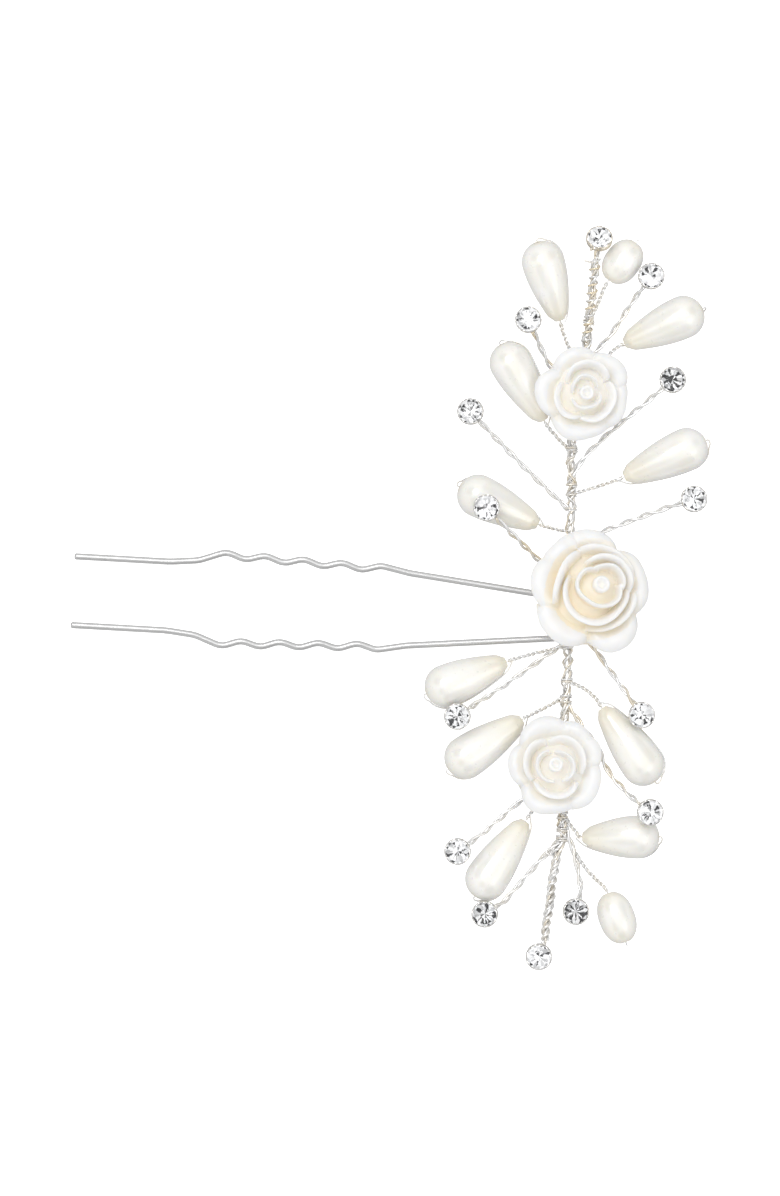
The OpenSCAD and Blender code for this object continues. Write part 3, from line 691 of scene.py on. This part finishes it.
def hollow_depth(points, reach):
    """How far each point lies below the highest surface within reach of it, in mm."""
    cell, margin = 0.16, 12
    grid = np.floor((points[:, :2] - points[:, :2].min(axis=0)) / cell).astype(int) + margin
    top = np.full(grid.max(axis=0) + margin + 1, -1.0)
    np.maximum.at(top, (grid[:, 0], grid[:, 1]), points[:, 2])
    around = top.copy()
    for ring in (0.5, 1.0):
        for a in np.linspace(0, TAU, 16, endpoint=False):
            way = np.array([math.cos(a), math.sin(a)])
            step = np.round(way * reach * ring / cell).astype(int)
            around = np.maximum(around, np.roll(top, step, axis=(0, 1)))
    return around[grid[:, 0], grid[:, 1]] - points[:, 2]


def painted_hollow_shade(mesh, centre, half, scale, shade_cream):
    """Painted shade in cream at each vertex: in the hollows, on what faces up, least on the lit side."""
    points, normals = vertex_values(mesh, "co"), vertex_values(mesh, "normal")
    depth = hollow_depth(points, RIM_REACH * scale ** 0.5) - SHADE_START
    depth = np.clip(depth / (SHADE_GROWTH * scale), 0, 1)
    tint = shade_cream * depth * np.clip(normals[:, 2] + 0.9, 0, 1)
    lit_way = np.array([math.cos(LIT_SIDE), math.sin(LIT_SIDE)])
    away = (points[:, :2] - centre) @ lit_way / half
    return np.clip(tint * np.clip(0.85 - 0.45 * away, 0.3, 1.1), 0, 1)


def fused(name, data, voxel):
    """One softened skin round overlapping parts, as a mesh still in mm."""
    rough = bpy.data.meshes.new(name + "_rough")
    rough.from_pydata(np.vstack(data.verts).tolist(), [], data.faces)
    blank = new_object(name + "_rough", rough)
    fuse = blank.modifiers.new("fuse", "REMESH")
    fuse.mode = "VOXEL"
    fuse.voxel_size = voxel
    soften = blank.modifiers.new("soften", "SMOOTH")
    soften.factor = 0.5
    soften.iterations = 4
    shaped = blank.evaluated_get(bpy.context.evaluated_depsgraph_get())
    done = bpy.data.meshes.new_from_object(shaped)
    bpy.data.objects.remove(blank)
    return done


def seen_lip(bud, first, last, reaches):
    """A petal's lip as seen from straight above, from its bearings and reaches."""
    steps = zip(np.linspace(first, last, len(reaches)), reaches)
    bearings, reach, _ = spline([(*step, 0) for step in steps], 6.0).T
    turn = np.radians(bearings)
    return np.array(bud) + (reach * [np.cos(turn), np.sin(turn)]).T


def build_rose(name, width, height, resin, voxel, shade_cream):
    """Petals round a bud on a solid core, fused and softened like a casting."""
    at, bearing, lean, bud = ROSES[name]
    x, y, z = lean_axes(bearing, lean)
    seen = np.linalg.inv(np.array([x[:2], y[:2]]).T)

    def local(point, h):
        """Place at height h in the leaning rose of a point seen from straight above."""
        return seen @ (np.array(point) - np.array(at[:2]) - h * z[:2])

    half = width / 2
    scale = height / BIG_ROSE[1]
    centre = local(bud, height)
    data = MeshData()
    for kind, h, first, last, reaches in ROSE_PETALS[name]:
        lip = [(*local(p, h), h) for p in seen_lip(bud, first, last, reaches)]
        data.add(*petal(lip, centre, kind, scale))
    add_core(data, centre, half, height)
    mesh = fused(name, data, voxel)
    # Painted shade: cream laid into the hollows and on the side away from the light, kept in the tint
    # attribute
    tint = painted_hollow_shade(mesh, centre, half, scale, shade_cream)
    points = vertex_values(mesh, "co")
    placed = (np.array(at) + points[:, :1] * x + points[:, 1:2] * y + points[:, 2:] * z) * MM
    mesh.vertices.foreach_set("co", placed.astype(np.float32).ravel())
    layer = mesh.attributes.new("tint", "FLOAT", "POINT")
    layer.data.foreach_set("value", tint.astype(np.float32))
    ride_on(finish_mesh(name + "_petals", mesh, resin), ROOT, "resin_white", name)


def build_roses():
    build_rose("rose_center", *BIG_ROSE, RESIN_BIG, voxel=0.14, shade_cream=0.85)
    for name in ("rose_upper", "rose_lower"):
        build_rose(name, *SMALL_ROSE, RESIN_SMALL, voxel=0.1, shade_cream=0.65)


def build_glue():
    """Lumpy pads of set glue behind the roses."""
    rows, sides = 14, 40
    for name in ("center", "upper", "lower"):
        node = "glue_pad_" + name
        low, high = (np.array(v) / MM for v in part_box(node))
        middle, reach = (low + high) / 2, (high[0] - low[0]) / 2
        verts = []
        for i in range(rows):
            t = i / (rows - 1)
            barrel = (1.02 - 0.35 * (2 * t - 1) ** 4) * min(1, 0.35 + 5 * min(t, 1 - t))
            for k in range(sides):
                a = TAU * k / sides
                r = reach * barrel * (1 + 0.07 * math.sin(3 * a + 2 * t) + 0.05 * math.sin(5 * a - 4 * t))
                verts.append((middle[0] + r * math.cos(a), middle[1] + r * math.sin(a),
                              low[2] + (high[2] - low[2]) * t))
        data = MeshData()
        data.add(verts, capped_faces(rows, sides))
        ride_on(data.build(node + "_blob", GLUE), ROOT, "glue", node)


# ---------------- pearls

DROP_NECK_R = 1.45
# How much the near end is rounded off, and over what length
NECK_ROUND, NECK_LONG = 0.72, 1.4
RICE_POWER = 2.4
HOLE_R = 0.45
# Outer strand of a pearl's stem: its radius, and its middle's distance from the pearl
STRAND_R, STRAND_OUT = 0.12, 0.17


def bead_pose(joint):
    """Near end, axis, length and largest radius of a bead, in mm, from its CAD node."""
    axis = unit(np.array(joint["axis"], float))
    middle = np.array(joint["pos_m"]) / MM
    rel = node_points(joint["child"]) - middle
    along = rel @ axis
    radius = np.linalg.norm(rel - along[:, None] * axis, axis=1).max()
    return middle + axis * along.min(), axis, along.max() - along.min(), radius


def drop_radius(t, length, r):
    """Radius of a teardrop at a distance from its near end, without the rounded neck."""
    wide = length - r
    along = np.clip((t - 0.5) / (wide - 0.5), 0, 1)
    side = DROP_NECK_R + (r - DROP_NECK_R) * np.sin(math.pi / 2 * along)
    return np.where(t > wide, np.sqrt(np.clip(r * r - (t - wide) ** 2, 0, None)), side)


def drop_outline(length, r):
    """Closed outline: up the outside from the near end, then down the hole's wall."""
    wide = length - r
    outside = [(HOLE_R + 0.02, 0.14), (HOLE_R + 0.1, 0.03), (HOLE_R + 0.24, 0.01)]
    for t in (0.06, 0.16, 0.3, 0.5, 0.75, 1.05):
        trim = NECK_ROUND * (1 - math.sin(math.pi / 2 * t / NECK_LONG))
        outside.append((float(drop_radius(t, length, r)) - trim, t))
    outside += [(float(drop_radius(t, length, r)), t) for t in np.linspace(NECK_LONG, wide, 22)]
    end = math.acos((HOLE_R + 0.14) / r)
    outside += [(r * math.cos(a), wide + r * math.sin(a)) for a in np.linspace(0, end, 20)[1:]]
    top = outside[-1][1]
    return outside + [(HOLE_R + 0.04, top - 0.03), (HOLE_R, top - 0.2)]


def rice_radius(t, length, r):
    """Radius of a rice pearl at a distance from its near end."""
    return r * np.sqrt(np.clip(1 - np.abs(2 * t / length - 1) ** RICE_POWER, 0, None))


def rice_outline(length, r):
    """Closed outline of a rice pearl with its hole."""
    t = length / 2 * (1 - np.cos(math.pi * np.linspace(0.05, 0.95, 40)))
    outside = [(float(rice_radius(h, length, r)), h) for h in t]
    outside = [p for p in outside if p[0] > HOLE_R + 0.12]
    low, high = outside[0][1], outside[-1][1]
    return ([(HOLE_R, low + 0.16), (HOLE_R + 0.05, low + 0.02)] + outside
            + [(HOLE_R + 0.05, high - 0.02), (HOLE_R, high - 0.16)])


def build_pearls():
    """Each pearl, warm at its neck or ends and round the far hole."""
    for name, joint in JOINTS.items():
        if "pearl" not in name:
            continue
        origin, axis, length, r = bead_pose(joint)
        is_drop = name.startswith("drop")
        outline = drop_outline(length, r) if is_drop else rice_outline(length, r)
        share = np.array([p[1] for p in outline]) / length
        warm = np.clip(1.0 - share * 2.4, 0, 1) if is_drop else np.abs(2 * share - 1) ** 4
        warm = np.maximum(warm, np.clip((share - 0.975) * 60, 0, 1))
        data = MeshData()
        data.lathe(outline, origin, axis, 64, tint=0.6 * warm)
        ride_on(data.build(name + "_bead", PEARL), name, "pearl_ivory", name)


# ---------------- wires


def place_wires(data, name, node):
    """Gathered wires as one piece of the spray that replaces a CAD node."""
    ride_on(data.build(name, WIRE), ROOT, "silver_wire", node)


def champagne(path, share, seed):
    """Tint along a wire: stretches of warm wire that fade in and out."""
    s = distance_along(path)
    wave = 0.5 + 0.5 * np.sin(s * 0.55 + seed * 1.7)
    return np.clip(share * (1.6 * wave - 0.35), 0, 1)


def twisted_pair(data, path, strand_r, offset, pitch, share, seed):
    """Two strands that wind round a path and each other."""
    for k in range(2):
        route = twisted(path, offset, pitch, seed * 1.3 + k * math.pi, 0.35)
        data.tube(route, strand_r, tint=champagne(route, share, seed + k))


def root_coil(data, at, direction, radius, turns, wire_r, share, seed):
    """Short coil that ties one wire round another."""
    t = np.linspace(0, turns, int(turns * 16) + 1)
    a, b = across(direction)
    angle = TAU * t + seed
    swell = radius * (1 + 0.06 * np.sin(3.1 * t + seed))
    route = (at + np.outer((t - turns / 2) * wire_r * 2.2, direction)
             + (np.cos(angle) * swell)[:, None] * a + (np.sin(angle) * swell)[:, None] * b)
    data.tube(route, wire_r, tint=champagne(route, share, seed))


# Halves of the spine: route, distance from the middle at which its wrap begins, and the
# stretches of y that the roses hide, where stems get no root coil
SPINES = {
    "upper": (SPINE_UP, 42.5, ((-9, 13.5), (28, 41))),
    "lower": (SPINE_DOWN, 35.5, ((-4, 9), (-29, -17))),
}
ROOT_COIL_R = 0.82
# Radii of the wires: loose and coiled ones, the spine's strands, the rope's, and free ends
THIN_WIRE_R, SPINE_WIRE_R, ROPE_WIRE_R, END_WIRE_R = 0.15, 0.21, 0.24, 0.13


def add_root_coils(data, path, hidden):
    """A coil round the spine where each stem leaves it, except where a rose hides it."""
    heading = frames(path)[0]
    roots = [stem[-1][-1] for stem in DROP_STEMS + RICE_STEMS + CRYSTAL_STEMS]
    for seed, root in enumerate(roots):
        gap = np.linalg.norm(path - np.array(root), axis=1)
        i = int(np.argmin(gap))
        in_reach = gap[i] < 0.9 and 3 < i < len(path) - 3
        if in_reach and not any(low < root[1] < high for low, high in hidden):
            turns = 1.1 + 0.5 * (seed % 3)
            root_coil(data, path[i], heading[i], ROOT_COIL_R, turns, THIN_WIRE_R, 0.4, seed * 0.9)


def build_spine():
    """Three twisted strands and two loose ones that cross them, closer under a wrap."""
    for name, (route, wrap_start, hidden) in SPINES.items():
        path = spline(route, 0.2)
        data = MeshData()
        under = np.clip((np.abs(path[:, 1]) - wrap_start) / 3, 0, 1)
        for k in range(3):
            strand = twisted(path, 0.48 - 0.22 * under, 5.4, k * TAU / 3 + 0.4, 0.7)
            data.tube(strand, SPINE_WIRE_R - 0.03 * under, tint=champagne(strand, 0.5, k * 2.1))
        bare = path[under < 0.6]
        for k, pitch in enumerate((4.4, -4.9)):
            loose = twisted(bare, 0.7, pitch, 1.9 + 2 * k, 0.9)
            data.tube(loose, THIN_WIRE_R, tint=champagne(loose, 0.6, 5.0 + k))
        add_root_coils(data, path, hidden)
        place_wires(data, f"spine_{name}_wires", f"spine_{name}")


def build_top_wrap():
    """Close coil of champagne wire over two slow strands, with one loose end."""
    low, high = (np.array(p) for p in TOP_WRAP)
    line = low + np.outer(np.linspace(-0.22, 1.1, 280), high - low)
    data = MeshData()
    rungs = twisted(line, 0.7, 1.22, 0.0, 0.25)
    data.tube(rungs, THIN_WIRE_R, tint=champagne(rungs, 1.6, 1.0))
    for k in range(2):
        route = twisted(line, 0.5, 7.5, 0.4 + k * math.pi, 0.4)
        data.tube(route, SPINE_WIRE_R, tint=champagne(route, 0.4, 2.0 + k))
    end = spline([high + (0.3, 0.5, 0.3), high + (-0.7, 0.4, 0.7), high + (-1.7, 0.6, 0.8)], 0.15)
    data.tube(end, END_WIRE_R, tint=0.3)
    place_wires(data, "top_wrap_coil", "top_wrap")


def build_bottom_wrap():
    """Loose rope of three thick strands, with one strand's end in a loop."""
    low, high = (np.array(p) for p in BOTTOM_WRAP)
    line = low + np.outer(np.linspace(-0.2, 1.12, 220), high - low)
    data = MeshData()
    for k in range(3):
        route = twisted(line, 0.5, 3.3, k * TAU / 3, 0.7)
        data.tube(route, ROPE_WIRE_R, tint=champagne(route, 0.2, 2.0 + k))
    loop = spline([low + (0.1, 0.9, 0.3), low + (-0.9, 1.1, 0.6), low + (-1.5, 1.5, 0.5),
                   low + (-1.2, 2.1, 0.4), low + (-0.4, 1.9, 0.2), low + (0.2, 1.6, 0)], 0.12)
    data.tube(loop, END_WIRE_R, tint=0.1)
    place_wires(data, "bottom_wrap_rope", "bottom_wrap")


def build_binding():
    """Crossed lashing where the spine meets the bow, on the CAD loops' own lines."""
    data = MeshData()
    a = np.linspace(0, TAU, 49)
    for side in (-1, 1):
        bearing = math.radians(side * 74)
        middle = np.array([BOW_R * math.cos(bearing), BOW_R * math.sin(bearing), 0.6])
        for slant in (-45, 45):
            out = np.array([math.cos(math.radians(slant)), math.sin(math.radians(slant)), 0])
            oval = np.outer(0.9 * np.cos(a), out) + np.outer(1.25 * np.sin(a), (0, 0, 1))
            for nudge in (-0.16, 0.16):
                loop = middle + np.array([-out[1], out[0], 0]) * nudge + oval
                data.tube(loop, END_WIRE_R, tint=champagne(loop, 0.5, side + slant))
    place_wires(data, "bow_binding_lashing", "bow_binding")


def drop_return(length, r):
    """Way back outside a teardrop, as (along, out) from its near end, clear of its skin."""
    wide = length - r
    clear = r + STRAND_OUT
    way = [(wide + clear * math.sin(a), clear * math.cos(a)) for a in np.radians([68, 54, 40, 25, 10])]
    way += [(wide * k, float(drop_radius(wide * k, length, r)) + STRAND_OUT)
            for k in (0.98, 0.84, 0.7, 0.56, 0.42, 0.28, 0.16)]
    return way + [(0.45, 1.48), (0.05, 1.22), (-0.35, 0.85), (-0.7, 0.5), (-1.05, 0.2)]


def rice_return(length, r):
    """The same for a rice pearl."""
    half = length / 2
    turns = np.radians([66, 54, 42, 28, 14, 0, -14, -28, -42, -54])
    way = [(half + (half + STRAND_OUT) * math.sin(a), (r + STRAND_OUT) * math.cos(a) ** 0.8)
           for a in turns]
    return way + [(0.1, 1.15), (-0.3, 0.8), (-0.7, 0.45), (-1.1, 0.2)]


def build_pearl_stems():
    """A twisted stem for each pearl, and the strand that goes through it and back outside."""
    stems = [("drop", i, stem) for i, stem in enumerate(DROP_STEMS)]
    stems += [("rice", i, stem) for i, stem in enumerate(RICE_STEMS)]
    for seed, (kind, i, (side, route)) in enumerate(stems):
        origin, axis, length, r = bead_pose(JOINTS[f"{kind}_pearl_{i + 1}"])
        x, y = across(axis)
        out = math.cos(math.radians(side)) * x + math.sin(math.radians(side)) * y
        through = [(-1.0, 0), (-0.3, 0), (length / 2, 0), (length - 0.2, 0)]
        bend = [(length + 0.15, 0.0), (length + 0.33, 0.12), (length + 0.42, 0.36),
                (length + 0.36, 0.66), (length + 0.2, 0.98)]
        back = drop_return(length, r) if kind == "drop" else rice_return(length, r)
        strand = spline([origin + axis * p[0] + out * p[1] for p in through + bend + back], 0.09)
        stem = spline([origin - axis * 0.35] + [np.array(p) for p in route], 0.1)
        data = MeshData()
        twisted_pair(data, stem, 0.16, 0.17, 1.5, 0.25, seed)
        data.tube(strand, STRAND_R, tint=champagne(strand, 0.25, seed))
        node = f"{kind}_stem_{i + 1}"
        place_wires(data, node + "_wire", node)


# ---------------- crystals


def seat(i):
    """Centre of a crystal's widest edge, its axis and its radius, from its CAD node."""
    points = node_points(f"crystal_{i + 1}")
    points = np.unique(np.round(points, 4), axis=0)
    middle = points.mean(axis=0)
    _, _, rows = np.linalg.svd(points - middle, full_matrices=False)
    axis = rows[2]
    height = (points - middle) @ axis
    if abs(height.max()) > abs(height.min()):
        axis, height = -axis, -height
    radial = np.linalg.norm(points - middle - height[:, None] * axis, axis=1)
    edge = points[radial > radial.max() - 0.08]
    return edge.mean(axis=0), axis, radial.max()


def ring_points(count, radius, height, start=0.0):
    """Corners of one ring of facets, turned by a part of a facet."""
    a = TAU * (np.arange(count) + start) / count
    return [(radius * math.cos(t), radius * math.sin(t), height) for t in a]


def cut_stone(r):
    """Brilliant cut: table, star, kite and girdle facets, then a finely faceted point."""
    verts = (ring_points(8, 0.54 * r, 0.66) + ring_points(8, 0.78 * r, 0.44, 0.5)
             + ring_points(16, r, 0.07) + ring_points(16, r, -0.06)
             + ring_points(16, 0.7 * r, -0.45, 0.5) + ring_points(16, 0.36 * r, -0.9) + [(0, 0, -1.35)])
    table, star, top, low, mid, deep, point = 0, 8, 16, 32, 48, 64, 80
    crown = [tuple(range(8))]
    back = []
    for k in range(8):
        crown.append((table + (k + 1) % 8, table + k, star + k))
        crown.append((star + k, table + k, star + (k - 1) % 8, top + 2 * k))
        crown.append((star + k, top + 2 * k, top + 2 * k + 1))
        crown.append((star + k, top + 2 * k + 1, top + (2 * k + 2) % 16))
    for k in range(16):
        k2 = (k + 1) % 16
        back.append((low + k2, low + k, mid + k))
        back.append((low + k2, mid + k, mid + k2))
        back.append((mid + k, deep + k, deep + k2))
        back.append((mid + k, deep + k2, mid + k2))
        back.append((deep + k2, deep + k, point))
    girdle = [(top + k, low + k, low + (k + 1) % 16, top + (k + 1) % 16) for k in range(16)]
    return verts, crown, girdle, back


def scattered(i, k):
    """Number from 0 to 1 that looks random but is the same each run."""
    mix = math.sin(12.9898 * (k + 1) + 78.233 * (i + 1)) * 43758.5453
    return mix - math.floor(mix)


def build_crystals():
    """Cut glass over foil with painted reflections: some of the foil's facets painted dark, the rest
    painted bright.
    """
    for i in range(len(CRYSTAL_STEMS)):
        middle, axis, r = seat(i)
        x, y = across(axis)
        spin = 0.37 * i
        x, y = math.cos(spin) * x + math.sin(spin) * y, math.cos(spin) * y - math.sin(spin) * x
        verts, crown, girdle, back = cut_stone(r)
        placed = [(middle + v[0] * x + v[1] * y + v[2] * axis) * MM for v in verts]
        mesh = bpy.data.meshes.new(f"crystal_{i + 1}_stone")
        mesh.from_pydata([tuple(p) for p in placed], [], crown + girdle + back)
        mesh.update()
        piece = finish_mesh(f"crystal_{i + 1}_stone", mesh, GLASS, smooth=False)
        mesh.materials.append(GLOWING_FOIL)
        first_back = len(crown) + len(girdle)
        shade = mesh.attributes.new("shade", "FLOAT", "FACE")
        for k, face in enumerate(mesh.polygons):
            face.material_index = 1 if k >= first_back else 0
            # Painted reflection: each back facet gets a dark or bright painted shade, scattered per stone
            tone = (scattered(i, k) - PAINTED_DARK_SHARE[i]) / (1 - PAINTED_DARK_SHARE[i])
            shade.data[k].value = 0.02 if tone < 0 else min(1.0, 0.4 + 0.85 * tone)
        ride_on(piece, ROOT, "crystal_glass", f"crystal_{i + 1}")


CUP_GAP, CUP_WALL = 0.05, 0.1
CLAWS, CLAW_DEPTH = 8, 0.22


def cup_rings(middle, axis, r):
    """Rings of a cup's closed outline, with its lip notched between the claws."""
    x, y = across(axis)
    out = r + CUP_GAP + CUP_WALL
    outline = [
        (0.02, -1.7), (out - 0.8, -1.7), (out - 0.62, -1.64), (out - 0.3, -1.2),
        (out - 0.12, -0.95), (out - 0.02, -0.75), (out, -0.5), (out, 0.0), (out - 0.02, 0.14),
        (out - 0.1, 0.25), (out - 0.2, 0.3), (out - 0.24, 0.26), (out - 0.16, 0.19),
        (out - CUP_WALL, 0.08), (out - CUP_WALL, -0.6), (out - 0.8, -1.55), (0.02, -1.58)]
    sides = 64
    verts = []
    for rr, h in outline:
        in_lip = h > 0.05 and rr > out - 0.3
        for k in range(sides):
            a = TAU * k / sides
            notch = 1 - (0.5 + 0.5 * math.cos(CLAWS * a)) ** 0.6
            lift = h - (CLAW_DEPTH * notch if in_lip else 0)
            verts.append(middle + rr * (math.cos(a) * x + math.sin(a) * y) + lift * axis)
    return verts, ring_faces(len(outline), sides, closed=True)


def build_cups():
    """Stamped cups: a thin bowl whose lip is notched into claws over the stone."""
    for name, chosen in HALVES.items():
        data = MeshData()
        for i in chosen:
            data.add(*cup_rings(*seat(i)), 0.4 if i == 0 else 0.05)
        ride_on(data.build(f"cups_{name}_claws", CUP), ROOT, "cup_metal", f"cups_{name}")


def build_crystal_stems():
    """A twisted stem from each cup to the spine, tied with a small coil at the cup."""
    for name, chosen in HALVES.items():
        data = MeshData()
        for i in chosen:
            share, route = CRYSTAL_STEMS[i]
            middle, axis, r = seat(i)
            towards = np.array(route[0]) - middle
            towards = unit(towards - towards.dot(axis) * axis)
            start = middle + towards * (r + 0.12) - axis * 0.6
            path = spline([start] + [np.array(p) for p in route], 0.12)
            twisted_pair(data, path, 0.22, 0.26, 6.0, share, i)
            collar = start - towards * 0.02 - axis * 0.05
            root_coil(data, collar, unit(np.cross(axis, towards)), 0.2, 1.2, 0.1, share, i)
        node = f"crystal_stems_{name}"
        place_wires(data, node + "_wires", node)


# ---------------- floor, light and camera

# Middle and height of the picture in mm, its roll in degrees, and the camera
VIEW_AIM = (-26.3, 1.6)
VIEW_HEIGHT = 184.2
VIEW_ROLL = 3.2
CAMERA_HEIGHT = 1400.0
SENSOR = 36.0
# Glow from low to high and the heights between which it changes, as light and in mirrors
STUDIO_GLOW, STUDIO_BAND = (0.68, 0.8), (-0.5, 0.6)
MIRROR_GLOW, MIRROR_BAND = (0.55, 1.0), (-0.6, 0.55)
# What mirrors see besides: direction, cosine of the half angle and glow of each spot
MIRROR_SPOTS = [
    ((-0.9, 0.5, 0.75), 0.955, 0.35), ((0.85, 0.75, 0.6), 0.96, 0.35), ((0.3, -1, 0.5), 0.95, 0.35),
    ((-0.5, -0.8, 1.2), 0.985, 0.35), ((-0.12, 0.18, 1), 0.9, 1.15),
]
SPOT_BLUR = 0.06


def build_floor():
    """Glowing white floor that lights nothing and shows in no reflection."""
    paper = material("floor_paper", Base_Color=(0.93, 0.93, 0.93, 1), Roughness=0.8,
                     Emission_Strength=0.75, Emission_Color=(1, 1, 1, 1))[0]
    mesh = bpy.data.meshes.new("floor")
    reach, z = 4.0, cad_low[2] - 0.1 * MM
    corners = [(-reach, -reach, z), (reach, -reach, z), (reach, reach, z), (-reach, reach, z)]
    mesh.from_pydata(corners, [], [(0, 1, 2, 3)])
    floor = finish_mesh("floor", mesh, paper)
    floor.visible_glossy = False
    floor.visible_diffuse = False


def pick(tree, factor, first, second):
    """The first socket where the factor is 0, and the second value or socket where it is 1."""
    node = add_node(tree, "Mix")
    node.data_type = "FLOAT"
    tree.links.new(factor, node.inputs["Factor"])
    tree.links.new(first, node.inputs["A"])
    if isinstance(second, float):
        node.inputs["B"].default_value = second
    else:
        tree.links.new(second, node.inputs["B"])
    return node.outputs["Result"]


def build_world():
    """Even white studio; mirrors see a darker horizon, dim openings and a bright ceiling."""
    world = bpy.data.worlds.new("studio")
    bpy.context.scene.world = world
    world.use_nodes = True
    tree = world.node_tree
    background = tree.nodes["Background"]
    background.inputs["Color"].default_value = (1, 1, 1, 1)
    where = add_node(tree, "TexCoord")
    split = add_node(tree, "SeparateXYZ")
    tree.links.new(where.outputs["Generated"], split.inputs["Vector"])
    dome = ramp(tree, split.outputs["Z"], *MIRROR_GLOW, *MIRROR_BAND)
    for direction, edge, glow in MIRROR_SPOTS:
        dot = add_node(tree, "VectorMath")
        dot.operation = "DOT_PRODUCT"
        dot.inputs[1].default_value = Vector(direction).normalized()
        tree.links.new(where.outputs["Generated"], dot.inputs[0])
        both = add_node(tree, "Math")
        both.operation = "MULTIPLY"
        tree.links.new(dome, both.inputs[0])
        spot = ramp(tree, dot.outputs["Value"], 1.0, glow, edge - SPOT_BLUR, edge)
        tree.links.new(spot, both.inputs[1])
        dome = both.outputs["Value"]
    rays = add_node(tree, "LightPath")
    even = ramp(tree, split.outputs["Z"], *STUDIO_GLOW, *STUDIO_BAND)
    lit = pick(tree, rays.outputs["Is Glossy Ray"], even, dome)
    seen = pick(tree, rays.outputs["Is Camera Ray"], lit, 1.0)
    tree.links.new(seen, background.inputs["Strength"])


def soft_light(name, place, size, power):
    """Round area light aimed at the origin."""
    data = bpy.data.lights.new(name, "AREA")
    data.shape = "DISK"
    data.size = size
    data.energy = power
    lamp = new_object(name, data)
    lamp.location = place
    lamp.rotation_euler = (-Vector(place)).to_track_quat("-Z", "Y").to_euler()
    lamp.visible_camera = False


def build_camera():
    """Camera straight above, with the photograph's framing and roll."""
    camera = bpy.data.cameras.new("camera")
    camera.sensor_width = SENSOR
    camera.lens = SENSOR * CAMERA_HEIGHT / VIEW_HEIGHT
    camera.clip_end = 20
    holder = new_object("camera", camera)
    holder.location = (VIEW_AIM[0] * MM, VIEW_AIM[1] * MM, CAMERA_HEIGHT * MM)
    holder.rotation_euler = (0, 0, math.radians(VIEW_ROLL))
    bpy.context.scene.camera = holder


# ---------------- build

build_pin()
build_spine()
build_top_wrap()
build_bottom_wrap()
build_binding()
build_roses()
build_glue()
build_pearls()
build_pearl_stems()
build_crystals()
build_cups()
build_crystal_stems()
build_floor()
build_world()
soft_light("key", (-0.22, 0.3, 0.75), 0.4, 1.9)
soft_light("fill", (0.5, -0.2, 0.6), 0.5, 0.35)
build_camera()
bpy.context.scene.view_settings.view_transform = "Standard"
